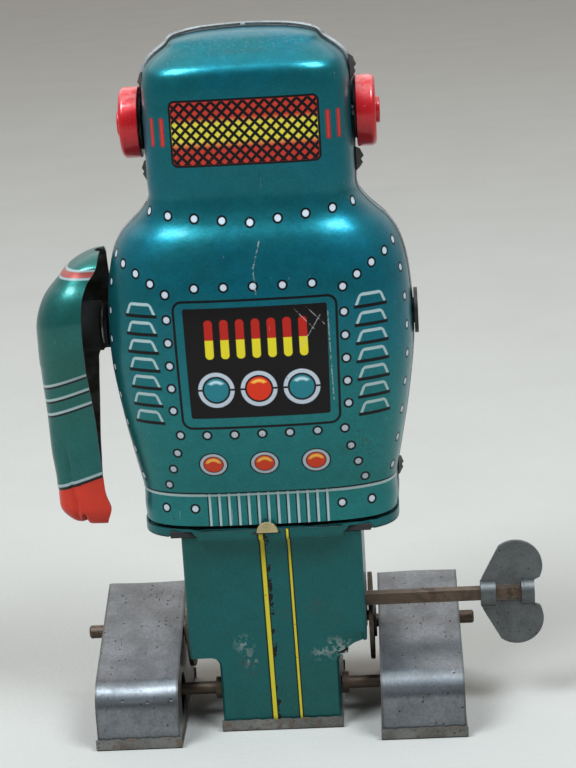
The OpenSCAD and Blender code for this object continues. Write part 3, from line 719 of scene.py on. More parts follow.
def rear_litho():
    """Plainer print on the back: a framed hatch with vents, rivets, and a bare strip along the seam."""
    s = Print("litho_rear", TEAL)
    u, v, depth = s.litho()
    side = abs(u)
    s.ink(BLACK_INK, abs(s.panel(u, v, 15.6, 13.0, 1.8, (0, 80))) - 0.19)
    i = s.nearest(v, 88, -4.0, 5)
    slot = s.panel(u, v - (88 - 4.0 * i), 10.5, 0.95, 0.9)
    s.ink(GREY_INK, slot)
    s.ink(BLACK_INK, slot + 0.35)
    i = s.nearest(v, 96, -6.0, 8)
    columns = s.length(side - 19.5, v - (96 - 6.0 * i))
    j = s.nearest(side, 0, 5.4, 4)
    rows = s.low(s.length(side - j * 5.4, v - 96), s.length(side - j * 5.4, v - 62.5))
    k = s.nearest(side, 0, 5.3, 5)
    rows = s.low(rows, s.length(side - k * 5.3, v - (104.9 + 0.53 * k)))
    print_rivets(s, s.low(columns, rows))
    s.ink(BLACK_INK, abs(v - 51.2) - 0.22)
    s.ink(GREY_INK, abs(v - 50.8) - 0.27)
    s.scratched(1.3)
    s.specked(0.06, 0.22, 0.8, patch=0.48)
    ragged = s.noise(1.1, 3) * 0.5
    s.stain((0.33, 0.34, 0.34), s.ramp(depth + ragged, -1.35, -1.15), 0.85)
    return s.lacquer()


def inner_tin():
    """Bare, dull inside of the pressed sheets."""
    s = Shade("inner_tin")
    cloud = s.noise(0.25, 5)
    colour = s.mix(s.ramp(cloud, 0.4, 0.65), (0.16, 0.16, 0.155), (0.09, 0.075, 0.06))
    return s.finish(
        Base_Color=colour, Metallic=0.8, Roughness=cloud * 0.25 + 0.38,
        Normal=s.bump(s.noise(2.0, 3), 0.02),
    )


def leg_litho():
    """Leg panel: plain ground with one thick and one thin yellow stripe, chips and spots."""
    s = Print("litho_leg", ((0.010, 0.098, 0.098), (0.013, 0.090, 0.084)))
    x, y, z = s.axes()
    front = s.ramp(y, -12.6, -12.9)
    ragged = s.noise(0.55, 3, 0.6)
    lean = (z - 21) * 0.012
    thick = x + lean + 1.62
    edge = s.ramp(ragged, 0.50, 0.60) * 0.7
    s.stain(BLACK_INK, s.cover(s.high(thick - 0.66 - edge, -0.72 - thick)) * front, 0.1)
    s.stain(STRIPE_INK, s.cover(abs(thick) - 0.40) * front, 0.25)
    thin = x + lean - 3.65
    s.stain(BLACK_INK, s.cover(abs(thin) - 0.50) * front, 0.1)
    s.stain(STRIPE_INK, s.cover(abs(thin) - 0.22) * front, 0.25)
    chips = s.noise(0.6, 3, 0.6)
    for centre, size in (((-6.8, 18.6), 0.9), ((11.3, 17.2), 1.2), ((-5.6, 15.2), 0.7), ((13.6, 16.9), 1.1), ((8.6, 16.4), 0.8)):
        zone = s.cover(s.disc(x, z, size, centre), 1.6)
        s.stain((0.30, 0.33, 0.30), s.ramp(chips, 0.48, 0.56) * zone * front * 0.75, 0.4)
    for centre, size in (((7.3, 26.4), 1.4), ((1.7, 25.2), 0.9), ((-6.2, 13.5), 2.2)):
        zone = s.cover(s.disc(x, z, size, centre), 1.2)
        s.stain(RUST, s.ramp(s.noise(1.4, 3), 0.46, 0.6) * zone * front * 0.5, 0.0)
    s.scratched(0.6)
    s.specked(0.05, 0.20, 1.1)
    return s.lacquer(0.42, 0.25)


def arm_litho():
    """Sleeve with shoulder band, three elbow bands, a cuff and a red hand."""
    s = Print("litho_arm", ARM_TEAL)
    u, v, _ = s.litho()
    for level in (73.4, 70.3, 67.3):
        s.ink(BLACK_INK, abs(v - (level - 0.45)) - 0.27)
        s.ink(GREY_INK, abs(v - level) - 0.27)
    s.ink(BLACK_INK, abs(v - (CUFF_V - 0.6)) - 0.38)
    s.ink(GREY_INK, abs(v - CUFF_V) - 0.30)
    red = s.mix(s.noise(0.3, 3), (0.56, 0.032, 0.012), (0.42, 0.026, 0.014))
    s.stain(red, s.cover(v - (CUFF_V - 0.95)), 0.25)
    _, _, height = s.axes()
    band = abs(height - 94.7)
    s.ink((0.30, 0.07, 0.06), band - 0.55, 0.4)
    s.ink((0.22, 0.27, 0.27), abs(band - 0.75) - 0.2)
    s.scratched()
    s.specked(0.08, 0.20, 0.9, patch=0.45)
    return s.lacquer(0.38, 0.35)


def red_lacquer():
    s = Print("red_lacquer", ((0.50, 0.012, 0.018), (0.42, 0.012, 0.016)))
    _, _, up = s.facing()
    dust = s.ramp(s.noise(0.5, 4), 0.35, 0.7) * s.ramp(up, 0.25, 0.9)
    s.stain((0.46, 0.20, 0.20), dust * 0.55, 0.05)
    s.scratched(0.5)
    s.metal = s.metal * 0.35
    return s.lacquer(0.30, 0.6)


def tray_lacquer():
    """Lacquer of the tray under the body, darkened to near black along the lower part of its lip."""
    s = Print("tray_lacquer", ((0.010, 0.120, 0.125), (0.012, 0.095, 0.098)))
    _, _, z = s.axes()
    ragged = s.noise(0.8, 4, 0.65)
    s.stain((0.02, 0.02, 0.018), s.ramp(z + ragged * 1.2, 43.1, 42.5) * 0.85, 0.3)
    s.specked(0.15, 0.25, 1.0)
    return s.lacquer(0.42, 0.2)


def worn_metal(name, colours, metal=0.85, rough=0.38, rust=0.0, brush=(0.25, 6.0, 6.0), pits=0.12, bump=0.03):
    """Bare metal with brushing, clouding, pits and rust."""
    s = Shade(name)
    cloud = s.noise(0.18, 5, 0.6)
    grain = s.noise(1.0, 3, 0.6, s.stretch(brush))
    colour = s.mix(s.ramp(cloud, 0.35, 0.65), colours[0], colours[1])
    colour = s.mix(s.ramp(grain, 0.3, 0.8) * 0.45, colour, tuple(c * 1.5 for c in colours[0]))
    spots = s.specks(0.9, pits, 0.26)
    colour = s.mix(spots * 0.8, colour, (0.05, 0.045, 0.04))
    if rust:
        patch = s.ramp(s.noise(0.5, 5, 0.7), 0.66 - rust, 0.76 - rust)
        colour = s.mix(patch * 0.8, colour, (0.075, 0.038, 0.020))
        metal = metal - patch * (0.8 * metal)
    return s.finish(
        Base_Color=colour, Metallic=metal, Roughness=cloud * 0.2 + (rough - 0.1) + grain * 0.08,
        Normal=s.bump(grain * 0.4 + spots * -0.6 + cloud, bump),
    )


def foot_tin():
    """Scratched tinplate of the feet, with pits and vertical scores, and painted shade along the strip's side edges
    and near the floor.
    """
    s = Shade("foot_tin")
    x, _, z = s.axes()
    low, high = span("foot_cover_left")
    cloud = s.noise(0.16, 5, 0.65)
    fine = s.noise(1.8, 3, 0.7)
    colour = s.mix(s.ramp(cloud, 0.34, 0.66), (0.212, 0.224, 0.242), (0.145, 0.152, 0.161))
    colour = s.mix(s.ramp(fine, 0.35, 0.75) * 0.5, colour, (0.09, 0.09, 0.09))
    scores = s.ramp(s.noise(1.0, 2, 0.6, s.stretch((3.2, 0.35, 0.35), (6, 4, 0))), 0.68, 0.72)
    zone = s.ramp(s.noise(0.14, 2, 0.5), 0.41, 0.53)
    colour = s.mix(scores * zone * 0.75, colour, (0.03, 0.028, 0.026))
    pits = s.specks(0.8, 0.30, 0.24)
    colour = s.mix(pits * 0.8, colour, (0.03, 0.026, 0.022))
    # Painted shade: the colour darkens and the metal dulls towards the strip's side edges and at its bottom near the
    # floor.
    margin = s.low(abs(x) - low[0], high[0] - abs(x))
    edge = s.ramp(margin + (fine - 0.5) * 0.9, 0.62, 0.12)
    hem = s.ramp(z + (cloud - 0.5) * 6, 3.4, 1.6)
    painted_edge_shade = s.high(edge, hem * 0.6)
    colour = s.mix(painted_edge_shade * 0.8, colour, (0.045, 0.038, 0.032))
    return s.finish(
        Base_Color=colour, Metallic=0.85 - painted_edge_shade * 0.5, Roughness=cloud * 0.16 + 0.19 + fine * 0.06,
        Normal=s.bump(cloud * 1.5 - pits * 0.5 - scores * zone * 0.3 + fine * 0.15, 0.05),
    )


# ---- Materials ----

INSIDE = inner_tin()
FRONT = front_litho()
REAR = rear_litho()
LEG = leg_litho()
ARM = arm_litho()
EAR = red_lacquer()
TRAY = tray_lacquer()
RIM_TIN = worn_metal("rim_tin", ((0.22, 0.23, 0.23), (0.11, 0.11, 0.105)), metal=0.35, rough=0.50, rust=0.10)
CLIP_TIN = worn_metal("clip_tin", ((0.06, 0.06, 0.06), (0.03, 0.028, 0.026)), metal=0.5, rough=0.50, rust=0.12)
FOOT_TIN = foot_tin()
SOLE_TIN = worn_metal("sole_tin", ((0.19, 0.185, 0.175), (0.10, 0.095, 0.085)), rough=0.40, rust=0.17, brush=(2, 2, 2))
KEY_ZINC = worn_metal("key_zinc", ((0.115, 0.120, 0.120), (0.080, 0.083, 0.083)), rough=0.42, rust=0.0, brush=(3, 3, 3), pits=0.3)
# Rust brown, darkened further as painted shade to the tone of the guide rod lying in shadow inside the body.
RUST_AND_SHADE = worn_metal("rusty_rod_painted_shade", ((0.10, 0.075, 0.055), (0.05, 0.033, 0.024)), rough=0.48, rust=0.2, brush=(0.4, 5, 5), bump=0.06)
STEEL = worn_metal("clock_steel", ((0.30, 0.30, 0.31), (0.20, 0.20, 0.20)), rough=0.36, rust=0.08)
BRASS = worn_metal("dull_brass", ((0.42, 0.31, 0.13), (0.28, 0.20, 0.09)), rough=0.40, rust=0.03)
TAB_BRASS = worn_metal("tab_brass", ((0.46, 0.38, 0.19), (0.30, 0.25, 0.13)), rough=0.48, rust=0.05)
SOOT = worn_metal("black_japan", ((0.018, 0.018, 0.019), (0.010, 0.010, 0.011)), metal=0.1, rough=0.45, pits=0.05)
# Matt near-black that paints shade: behind the tray notches, in the slot of the frame tab, and on the arm hub and the
# shoulder bush inside the arm.
SHADE_BLACK = worn_metal("painted_shade_black", ((0.012, 0.011, 0.010), (0.008, 0.008, 0.008)), metal=0.0, rough=0.8, pits=0.0)


# ---- Body shells ----

def dented(grid, litho, spots):
    """Presses shallow dents (u, v, radius, depth) into a shell grid along its normals."""
    normal = np.cross(np.gradient(grid, axis=0), np.gradient(grid, axis=1))
    normal /= np.linalg.norm(normal, axis=2, keepdims=True) + 1e-12
    depth = np.zeros(grid.shape[:2])
    for u, v, radius, amount in spots:
        reach = ((litho[..., 0] - u) ** 2 + (litho[..., 1] - v) ** 2) / radius ** 2
        depth += amount * np.exp(-reach * 1.5)
    return grid - depth[..., None] * normal


def front_shell():
    grid, litho = half_shell(BODY_ROWS, 150)
    grid = dented(grid, litho, [(0.5, 96, 5, 0.10), (12, 60, 6, 0.12), (-20, 58, 7, 0.12), (20, 52, 4, 0.10), (-4, 112, 7, 0.08)])
    shell = sheet("front_shell_pressing", grid, SKIN, litho)
    install(shell, "torso", [FRONT, INSIDE], ["front_shell"])


def rear_rows(inset):
    rows = []
    for z, w, d, n in BODY_ROWS:
        lift = RIM_LIFT * min(max((z - DOME_Z) / (CROWN_Z - DOME_Z), 0), 1)
        rows.append([z + lift, w + RIM_PROUD - inset, d * REAR_DEPTH + RIM_PROUD - inset, n])
    return rows


def rear_shell():
    inset = 0.25
    grid, litho = half_shell(rear_rows(inset), 130)
    grid[:, :, 2] -= inset * np.clip((grid[:, :, 2] - DOME_Z) / (CROWN_Z - DOME_Z), 0, 1)
    grid = dented(grid, litho, [(-9, 88, 8, 0.15), (13, 70, 9, 0.15), (4, 118, 6, 0.10)])
    grid[:, :, 1] *= -1
    grid = grid[:, ::-1]
    litho = litho[:, ::-1]
    shell = sheet("rear_shell_pressing", grid, SKIN, litho)
    install(shell, "torso", [REAR, INSIDE], ["rear_shell"])
    rim = fine_rows(BODY_ROWS, 6)
    side = np.stack([rim[:, 1], np.full(len(rim), SEAM_GAP + BEAD_R), rim[:, 0]], axis=-1)
    outline = np.concatenate([side, (side * [-1, 1, 1])[::-1][1:]])
    along = np.gradient(outline, axis=0)
    outward = np.stack([along[:, 2], np.zeros(len(along)), -along[:, 0]], axis=-1)
    outward /= np.linalg.norm(outward, axis=1, keepdims=True)
    proud = RIM_PROUD + (RIM_LIFT - RIM_PROUD) * np.clip((outline[:, 2] - 116) / 14, 0, 1)
    bead = tube("rear_shell_rim_bead", outline + outward * (proud - BEAD_R)[:, None], BEAD_R, 12)
    install(bead, "torso", [RIM_TIN])


def body_outline(grow, count=240):
    """Closed outline of the body at its lower rim."""
    turn = np.linspace(0, 2 * math.pi, count, endpoint=False)
    width, depth, power = BODY_ROWS[0][1] + grow, BODY_ROWS[0][2] + grow, 2 / BODY_ROWS[0][3]
    return np.stack([
        width * np.sign(np.cos(turn)) * np.abs(np.cos(turn)) ** power,
        depth * np.sign(np.sin(turn)) * np.abs(np.sin(turn)) ** power,
    ], axis=-1)


def body_tray():
    """Tray that closes the body from below: a floor plate and a lip bent up round the shells."""
    low, high = span("torso_floor")
    floor_z, lip_top = low[2], low[2] + 1.8
    wall = 0.35
    outer, inner = body_outline(0.3), body_outline(0.3 - wall)
    notch = np.clip(3.0 - np.abs(np.abs(outer[:, 0]) - 17.4) / 0.95, 0, 1) * (outer[:, 1] < 0)
    wave = 0.10 * np.sin(outer[:, 0] * 0.55) + 0.07 * np.sin(outer[:, 0] * 1.7 + outer[:, 1])
    levels = [floor_z + 1.3 * notch, np.full(len(outer), floor_z + 1.35), lip_top + np.minimum(wave, 0)]
    rings = [np.column_stack([outer, z]) for z in levels] + [np.column_stack([inner, z]) for z in levels[::-1]]
    count = len(outer)
    index = np.arange(len(rings) * count).reshape(len(rings), count)
    faces = [
        (index[r, k], index[r, (k + 1) % count], index[(r + 1) % len(rings), (k + 1) % count], index[(r + 1) % len(rings), k])
        for r in range(len(rings)) for k in range(count)
    ]
    lip = mesh_object("body_tray_lip", np.concatenate(rings), faces)
    install(lip, "torso", [TRAY], ["torso_floor"])
    plate_edge = body_outline(0.3 - wall, 120)
    inside_notch = (np.abs(np.abs(plate_edge[:, 0]) - 17.4) < 2.6) & (plate_edge[:, 1] < 0)
    plate_edge[inside_notch, 1] = -13.7
    floor = prism("body_tray_floor", [tuple(p) for p in plate_edge], [], lambda a, b, h: (a, b, h), floor_z + 0.05, floor_z + 0.05 + wall)
    install(floor, "torso", [TRAY])
    # Near-black plates behind the notches in the lip are painted shade.
    for side, label in ((1, "left"), (-1, "right")):
        edge = [(side * (17.4 + a), floor_z + b) for a, b in ((-2.5, 0.05), (2.4, 0.05), (2.7, 1.25), (-2.7, 1.25))]
        shade = prism(f"body_tray_notch_shade_{label}", edge, [], lambda a, b, h: (a, h, b), -14.0, -13.4)
        install(shade, "torso", [SHADE_BLACK])


def seam_clips():
    """Small torn and folded tabs that hook the two shells together beside the ears and at the hem."""
    for index, (side, z, high, lean) in enumerate((
        (1, 131.4, 4.8, 1.3), (-1, 130.2, 4.6, 1.0), (1, 113.6, 4.6, 1.5), (-1, 113.4, 4.2, 1.1), (1, 51.0, 4.0, 1.0),
    )):
        half_w = np.interp(z, [r[0] for r in BODY_ROWS], [r[1] for r in BODY_ROWS])
        ragged = [0, 0.35, 0.1, 0.5, 0.2, 0.0]
        rows = np.linspace(-0.5, 0.5, 6)
        grid = np.array([
            [(side * (half_w + 0.15 + lean * t * (0.5 + ragged[k])), -0.6 + 1.3 * t, z + rows[k] * high * (1 - 0.3 * t)) for t in np.linspace(0, 1, 5)]
            for k in range(6)
        ])
        clip = sheet(f"seam_clip_{index + 1}", grid if side > 0 else grid[::-1], 0.3)
        install(clip, "torso", [CLIP_TIN, CLIP_TIN], ["seam_tabs"] if index == 0 else ())


# ---- Ears ----

def ear(side, name):
    low, high = span(name)
    base = min(abs(low[0]), abs(high[0]))
    start, tip = 20.9, max(abs(low[0]), abs(high[0]))
    radius = (high[2] - low[2]) / 2
    centre = (0, (high[2] + low[2]) / 2)
    face = tip - 0.8
    fillet = 1.0
    boss = 2.6
    rim = [(face - fillet + fillet * math.sin(t), radius - fillet + fillet * math.cos(t)) for t in np.radians(np.arange(0, 91, 10))]
    knob = [(tip - 0.4 + 0.4 * math.sin(t), boss - 0.4 + 0.4 * math.cos(t)) for t in np.radians(np.arange(0, 91, 15))]
    profile = [(start, radius - 0.75), (start - 0.02, radius - 0.3), (start + 0.15, radius)]
    profile += rim + [(face - 0.18, radius - 2.0), (face - 0.22, boss + 0.5), (face - 0.05, boss)] + knob + [(tip, 0.05)]
    piece = lathe(name + "_cap", profile, centre, side)
    install(piece, "torso", [EAR], [name])
    spindle = lathe(name + "_spindle", [(base, 1.4), (start + 0.2, 1.4)], centre, side, 32)
    install(spindle, "torso", [STEEL])


# ---- Arm ----

def arm_shell():
    grid, litho = [], []
    for row in fine_rows(ARM_ROWS, 8):
        x, y, u = section(row, 90, 0)
        grid.append(np.stack([y - ARM_PLANE, -x - row[4], np.full_like(x, row[0])], axis=-1))
        litho.append(np.stack([u, row[0] - 0.33 * (y - ARM_PLANE + 39), y - ARM_PLANE], axis=-1))
    grid, litho = np.array(grid), np.array(litho)
    grid = pressed_hand(grid)
    shell = sheet("arm_pressing", grid, SKIN, litho)
    install(shell, "arm", [ARM, INSIDE], ["arm_shell"])


def pressed_hand(grid):
    """Cuff step, crease down the hand and a notch between thumb and fingers."""
    x, y, z = grid[..., 0], grid[..., 1], grid[..., 2]
    middle = np.array([(row[:, 1].max() + row[:, 1].min()) / 2 for row in grid])[:, None]
    hand = np.clip((CUFF_V + 0.33 * (x + 39) - 0.3 - z) / 0.5, 0, 1)
    front = y < middle
    crease = np.exp(-((x + 40.6 - (60 - z) * 0.08) / 0.5) ** 2) * np.clip((61 - z) / 3, 0, 1) * front
    out = grid.copy()
    out[..., 0] = x + hand * 0.25 * (x < -38)
    out[..., 1] = y + (crease * 0.5 + hand * 0.3) * front - hand * 0.3 * (y > middle + 2)
    thumb = np.exp(-((z - 46.2) / 2.2) ** 2) * np.clip((x + 37) / 3, 0, 1) * front
    out[..., 0] += thumb * 1.0
    notch = np.exp(-((x + 37.9) / 0.55) ** 2) * np.clip((45.4 - z) / 2.0, 0, 1) * front
    out[..., 2] = z + notch * 1.6
    return out


# ---- Leg block ----

HIP, SHIN = 17.9, 12.0
STEP_Z, STEP_FILLET = 15.9, 2.0
FRONT_Y, REAR_Y, SPLIT_Y = -13.4, 15.4, 1.0
BLOCK_TOP = 41.7


def wall_section(half, face_y, split_y, radius, columns=9):
    """C-shaped section of a bent panel from one wall edge round the face to the other, in (x, y)."""
    toward = 1 if face_y > split_y else -1
    corner_y = face_y - toward * radius
    wall = [(half, y) for y in np.linspace(split_y, corner_y, 8)[:-1]]
    bend = [(half - radius + radius * math.cos(t), corner_y + toward * radius * math.sin(t)) for t in np.linspace(0, math.pi / 2, 6)]
    right = wall + bend
    across = [(x, face_y) for x in np.linspace(right[-1][0], -right[-1][0], 2 * columns + 2)[1:-1]]
    left = [(-x, y) for x, y in right[::-1]]
    return right + across + left


def leg_half_w(z):
    if z > STEP_Z:
        return HIP
    drop = z - (STEP_Z - STEP_FILLET)
    return SHIN + STEP_FILLET - math.sqrt(STEP_FILLET ** 2 - drop ** 2) if drop > 0 else SHIN


def leg_panel(name, face_y, split_y, material, replaces):
    for part, levels in (
        ("upper", np.linspace(STEP_Z + 0.001, BLOCK_TOP - 0.1, 28)),
        ("lower", np.concatenate([np.linspace(1.0, STEP_Z - STEP_FILLET, 14), np.linspace(STEP_Z - STEP_FILLET, STEP_Z, 9)[1:]])),
    ):
        toward = 1 if face_y > split_y else -1
        grid = np.array([[(x, y, z) for x, y in wall_section(leg_half_w(z), face_y, split_y, 0.8)] for z in levels])
        gentle = 0.10 * np.sin(grid[..., 0] * 0.25 + 0.6) * np.sin(grid[..., 2] * 0.16 + 0.4) + 0.10
        on_face = np.abs(grid[..., 1] - face_y) < 0.01
        grid[..., 1] -= np.where(on_face, toward * gentle, 0)
        if toward < 0 and part == "upper":
            torn = np.clip(1 - np.hypot(grid[..., 0] - 15.5, grid[..., 2] - STEP_Z) / 4.2, 0, 1)
            grid[..., 1] += np.where(on_face, torn * 0.9, 0)
            grid[..., 2] += np.where(grid[..., 0] > 12.2, np.clip(1 - (grid[..., 2] - STEP_Z) / 6, 0, 1) * np.clip((grid[..., 0] - 12.2) / 4.5, 0, 1) * 2.6, 0)
        piece = sheet(f"{name}_{part}", grid if toward < 0 else grid[:, ::-1], SKIN)
        install(piece, "torso", [material, INSIDE], replaces if part == "upper" else ())


def folded_strip(name, path, x0, x1, thickness, columns, body, materials, replaces=(), ragged=0.0):
    """Strip bent along a path of (y, z) points and spread from x0 to x1."""
    xs = np.linspace(x0, x1, columns)
    grid = np.array([[(x, y, z) for x in xs] for y, z in path], float)
    if ragged:
        wobble = ragged * (0.6 * np.sin(xs * 1.9 + path[0][0]) + 0.4 * np.sin(xs * 4.3 + 1))
        grid[0, :, 2] += np.minimum(wobble, 0)
        grid[-1, :, 2] += np.minimum(wobble[::-1], 0)
    piece = sheet(name, grid, thickness)
    return install(piece, body, materials, replaces)


def leg_lip():
    """Strip of the front panel that is folded out and up in front of the body tray, with the frame's tab."""
    top = BLOCK_TOP - 0.45
    lip_y, lip_top, half = FRONT_Y - 2.35, 43.6, 14.4
    path = [(FRONT_Y - 0.05, top - 1.2), (FRONT_Y - 0.15, top - 0.3), (FRONT_Y - 0.5, top - 0.05)]
    path += [(y, top) for y in (FRONT_Y - 1.0, FRONT_Y - 1.6)]
    path += [(lip_y + 0.3, top + 0.08), (lip_y + 0.05, top + 0.4), (lip_y, top + 1.0), (lip_y, lip_top - 0.4), (lip_y + 0.05, lip_top)]
    folded_strip("leg_panel_lip", path, half, -half, SKIN, 60, "torso", [LEG, INSIDE], (), 0.12)
    low, high = span("frame_tab")
    slot_low, slot_high = low[2] - 0.45, low[2] + 0.05
    # A near-black plate on the lip paints the shade inside the slot that the frame's tab comes through.
    slot_shade = prism(
        "frame_tab_slot_shade", [(low[0] - 0.9, slot_low), (high[0] + 0.6, slot_low + 0.1), (high[0] + 0.6, slot_high), (low[0] - 0.9, slot_high)], [],
        lambda a, b, h: (a, h, b), lip_y - 0.06, lip_y + 0.1,
    )
    install(slot_shade, "torso", [SHADE_BLACK])
    radius = (high[0] - low[0]) / 2
    centre = ((high[0] + low[0]) / 2, low[2])
    tab = prism("frame_tab_half_disc", arc(centre, radius, 0, 180, 28), [], lambda a, b, h: (a, h, b), low[1], high[1])
    add_bevel(tab, 0.12)
    install(tab, "torso", [TAB_BRASS], ["frame_tab"])


def sole_tray(name, node, body):
    """Shallow tray under a foot or the leg block, with its ends bent up."""
    low, high = span(node)
    path = [(low[1], high[2]), (low[1], high[2] - 0.8), (low[1], 0.7), (low[1] + 0.12, 0.25), (low[1] + 0.5, 0.02)]
    path += [(y, 0.0) for y in np.linspace(low[1] + 1.2, high[1] - 1.2, 10)]
    path += [(high[1] - 0.5, 0.02), (high[1] - 0.12, 0.25), (high[1], 0.7), (high[1], high[2] - 0.8), (high[1], high[2])]
    folded_strip(name, path[::-1], high[0], low[0], 0.45, 40, body, [SOLE_TIN, SOLE_TIN], [node], 0.22)


# ---- Feet ----

TOE_R = 6.4
TOE_TOP_Z = 13.2
FOOT_SLOPE = 17.5
PIN_Y, PIN_Z = 0.5, 17.2


def foot_profile(y0, y1, inset):
    """Side outline of a foot cover from the floor in front, over the toe, to the floor behind."""
    slope = math.radians(FOOT_SLOPE)
    crest_run = (TOE_R - 4.8) * (1 - math.sin(slope)) * math.tan(slope)
    toe = (y0 + TOE_R, TOE_TOP_Z + crest_run - TOE_R * math.cos(slope))
    radius = TOE_R - inset
    points = [(toe[0] - radius, z) for z in np.linspace(1.2, toe[1], 7)[:-1]]
    points += [(toe[0] - radius * math.cos(t), toe[1] + radius * math.sin(t)) for t in np.linspace(0, math.pi / 2 - slope, 16)]
    back, heel = y1 - inset, 1.0
    top = points[-1][1] + (back - points[-1][0]) * math.tan(slope)
    points += [(y, points[-1][1] + (y - points[-1][0]) * math.tan(slope)) for y in np.linspace(points[-1][0], back - heel, 12)[1:]]
    points += [(back - heel + heel * math.sin(t), top - heel * math.tan(slope) - heel + heel * math.cos(t)) for t in np.linspace(0.3, math.pi / 2, 6)]
    points += [(back, z) for z in np.linspace(top - 2 * heel - 1, 1.2, 6)]
    return points


def foot(side, cover, sole, body):
    low, high = span(cover)
    inner, outer = sorted((abs(low[0]), abs(high[0])))
    path = foot_profile(low[1], high[1], 0)
    lip = 0.35
    xs = np.linspace(outer - lip, inner + lip, 30)
    grid = np.array([[(side * x, y, z) for x in xs] for y, z in path])
    dish = 0.12 * np.sin(grid[..., 1] * 0.22 + side) * np.cos((np.abs(grid[..., 0]) - (inner + outer) / 2) * 0.28)
    clear = np.clip((np.abs(grid[..., 1] - PIN_Y) - 1.5) / 4, 0, 1)
    grid[..., 2] -= np.maximum(dish + 0.10, 0) * clear * (grid[..., 2] > 10)
    if side < 0:
        grid = grid[:, ::-1]
    strip = sheet(f"{body}_strip", grid, 0.45)
    install(strip, body, [FOOT_TIN, INSIDE], [cover])
    inside = foot_profile(low[1], high[1], 0.08)
    for wall, start, window in (("outer", outer - 0.42, None), ("inner", inner + 0.02, 4.6)):
        holes = [arc((PIN_Y, PIN_Z), 1.37, 0, 350, 35)]
        if window:
            holes.append(arc((-9.0, 6.5), window, 0, 352, 44))
        plate = prism(f"{body}_{wall}_wall", inside, holes, lambda a, b, h: (side * h, a, b), start, start + 0.4)
        install(plate, body, [FOOT_TIN])
    sole_tray(f"{body}_tray", sole, body)


# ---- Key ----

def winding_key():
    """Butterfly key: a pressed plate with a window over the shaft and two humps that grip it."""
    low, high = span("key_wing")
    centre_z = (low[2] + high[2]) / 2
    mid_y = -5.0
    reach = (high[2] - low[2]) / 2
    lobe = 5.4
    lobe_x, lobe_z = high[0] - lobe, reach - lobe
    waist = 52.0
    strap = low[0]
    upper = [(strap, 0)]
    upper += [(strap, 2.4), (strap + 0.5, 3.6)]
    start = 128
    upper += [(lobe_x + lobe * math.cos(math.radians(t)), lobe_z + lobe * math.sin(math.radians(t))) for t in range(start, -31, -6)]
    upper += [(waist + 0.15, 2.6), (waist, 2.0), (waist, 0)]
    outline = [(x, centre_z + z) for x, z in upper] + [(x, centre_z - z) for x, z in upper[::-1][1:-1]]
    window = [(44.0, centre_z - 1.75), (49.6, centre_z - 1.75), (49.6, centre_z + 1.75), (44.0, centre_z + 1.75)]
    plate = prism("key_wings", outline, [window], lambda a, b, h: (a, h, b), mid_y - 0.45, mid_y + 0.45)
    add_bevel(plate, 0.22, 3)
    install(plate, "key", [KEY_ZINC], ["key_wing"])
    for index, (x0, x1) in enumerate(((strap, 44.2), (49.4, waist))):
        for face in (-1, 1):
            turn = np.linspace(0, math.pi, 15)
            path = [(mid_y + face * (0.30 + 1.75 * math.sin(t)), centre_z + 2.25 * math.cos(t)) for t in turn]
            xs = np.linspace(x0, x1, 6)
            grid = np.array([[(x, y, z) for x in xs] for y, z in path])
            hump = sheet(f"key_hump_{index + 1}_{'front' if face < 0 else 'rear'}", grid if face > 0 else grid[:, ::-1], 0.4)
            install(hump, "key", [KEY_ZINC, KEY_ZINC])


# ---- Finish of the CAD parts that stay as they are ----

CAD_FINISH = {
    RUST_AND_SHADE: ["guide_rod", "winding_shaft", "crank_axle", "crank_disc_left", "crank_disc_right",
            "crank_pin_left", "crank_pin_right", "arm_pivot", "rod_collars"],
    SOOT: ["ear_washers", "shoulder_bush_left", "crank_collars"],
    # Painted shade: the hub and the bush inside the arm take the near-black of the arm's shadowed inside.
    SHADE_BLACK: ["shoulder_bush_right", "arm_hub"],
    BRASS: ["great_wheel", "second_wheel", "escape_wheel", "click_rivet"],
    STEEL: ["shoulder_washer", "motor_plate_left", "motor_plate_right", "frame_pillars", "mainspring", "spring_post",
            "ratchet_wheel", "click", "click_spring", "second_arbor", "second_pinion", "escape_arbor",
            "escape_pinion", "anchor", "anchor_arbor", "crank_pinion"],
}


def finish_cad_parts():
    for material, nodes in CAD_FINISH.items():
        for name in nodes:
            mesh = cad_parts[name].data
            mesh.materials.clear()
            mesh.materials.append(material)


# ---- Studio ----

def studio_floor():
    size = 5.0
    mesh = bpy.data.meshes.new("studio_floor")
    mesh.from_pydata([(-size, -size, 0), (size, -size, 0), (size, size, 0), (-size, size, 0)], [], [(0, 1, 2, 3)])
    floor = bpy.data.objects.new("studio_floor", mesh)
    bpy.context.scene.collection.objects.link(floor)
    s = Shade("studio_cloth")
    tone = s.mix(s.noise(0.02, 3), (0.300, 0.284, 0.262), (0.338, 0.322, 0.298))
    floor.data.materials.append(s.finish(Base_Color=tone, Roughness=0.95, Normal=s.bump(s.noise(0.9, 4), 0.15)))


def soft_light(name, place, size, power, colour, target=(0, 0, 0.08)):
    data = bpy.data.lights.new(name, "AREA")
    data.shape = "RECTANGLE"
    data.size, data.size_y = size
    data.energy = power
    data.color = colour
    light = bpy.data.objects.new(name, data)
    light.location = place
    light.rotation_euler = (Vector(target) - Vector(place)).to_track_quat("-Z", "Y").to_euler()
    bpy.context.scene.collection.objects.link(light)


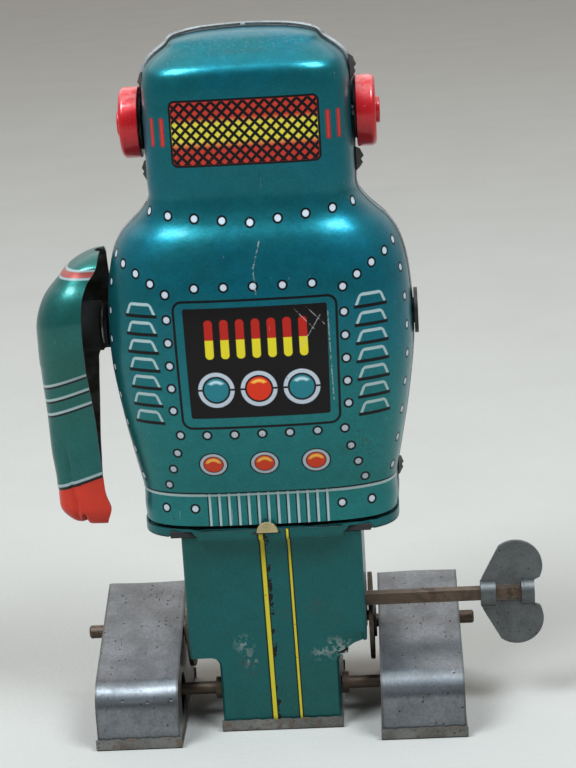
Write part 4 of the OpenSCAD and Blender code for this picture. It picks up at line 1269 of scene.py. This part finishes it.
def studio_lights():
    world = bpy.data.worlds.new("studio")
    world.use_nodes = True
    tree = world.node_tree
    place = tree.nodes.new("ShaderNodeTexCoord")
    split = tree.nodes.new("ShaderNodeSeparateXYZ")
    rise = tree.nodes.new("ShaderNodeMapRange")
    rise.inputs["From Min"].default_value = -0.9
    rise.inputs["From Max"].default_value = 0.7
    rise.inputs["To Min"].default_value = 0.05
    rise.inputs["To Max"].default_value = 0.60
    tree.links.new(place.outputs["Generated"], split.inputs[0])
    tree.links.new(split.outputs["Y"], rise.inputs["Value"])
    tree.links.new(rise.outputs[0], tree.nodes["Background"].inputs["Strength"])
    tree.nodes["Background"].inputs["Color"].default_value = (0.92, 0.90, 0.87, 1)
    bpy.context.scene.world = world
    bpy.context.scene.view_settings.view_transform = "Standard"
    overhead = bpy.data.lights.new("overhead", "SUN")
    overhead.energy = 1.3
    overhead.angle = math.radians(95)
    overhead.color = (1.0, 0.98, 0.95)
    sun = bpy.data.objects.new("overhead", overhead)
    sun.rotation_euler = (math.radians(-22), math.radians(-8), 0)
    bpy.context.scene.collection.objects.link(sun)
    soft_light("key_left", (-0.50, -0.42, 1.00), (0.50, 0.46), 19, (0.80, 0.92, 1.0))
    soft_light("key_right", (0.50, -0.38, 1.00), (0.44, 0.40), 15, (0.80, 0.92, 1.0))


def camera():
    """Camera fitted to the view: 3 degrees to the robot's left, 15 degrees above, rolled 3.5 degrees."""
    yaw, pitch, roll = math.radians(3), math.radians(15), math.radians(3.5)
    distance = 0.421
    target = Vector((0.0045, 0, 0.0687))
    focal_pixels, frame_height = 2100, 768
    back = Vector((math.sin(yaw) * math.cos(pitch), -math.cos(yaw) * math.cos(pitch), math.sin(pitch)))
    right = Vector((0, 0, 1)).cross(back).normalized()
    up = back.cross(right)
    x = right * math.cos(roll) - up * math.sin(roll)
    y = right * math.sin(roll) + up * math.cos(roll)
    data = bpy.data.cameras.new("view")
    data.sensor_width = 36
    data.lens = focal_pixels / frame_height * data.sensor_width
    data.clip_start = 0.01
    eye = bpy.data.objects.new("view", data)
    eye.matrix_world = Matrix((
        (x[0], y[0], back[0], target[0] + back[0] * distance),
        (x[1], y[1], back[1], target[1] + back[1] * distance),
        (x[2], y[2], back[2], target[2] + back[2] * distance),
        (0, 0, 0, 1),
    ))
    bpy.context.scene.collection.objects.link(eye)
    bpy.context.scene.camera = eye


# ---- Assembly ----

camera()
studio_floor()
studio_lights()
front_shell()
rear_shell()
body_tray()
seam_clips()
ear(1, "ear_left")
ear(-1, "ear_right")
arm_shell()
leg_panel("leg_front_panel", FRONT_Y, 0.9, LEG, ["leg_front_panel"])
leg_panel("leg_rear_panel", REAR_Y, 1.1, LEG, ["leg_rear_panel"])
leg_lip()
sole_tray("leg_sole_tray", "leg_sole", "torso")
foot(1, "foot_cover_left", "foot_sole_left", "foot_left")
foot(-1, "foot_cover_right", "foot_sole_right", "foot_right")
winding_key()
finish_cad_parts()
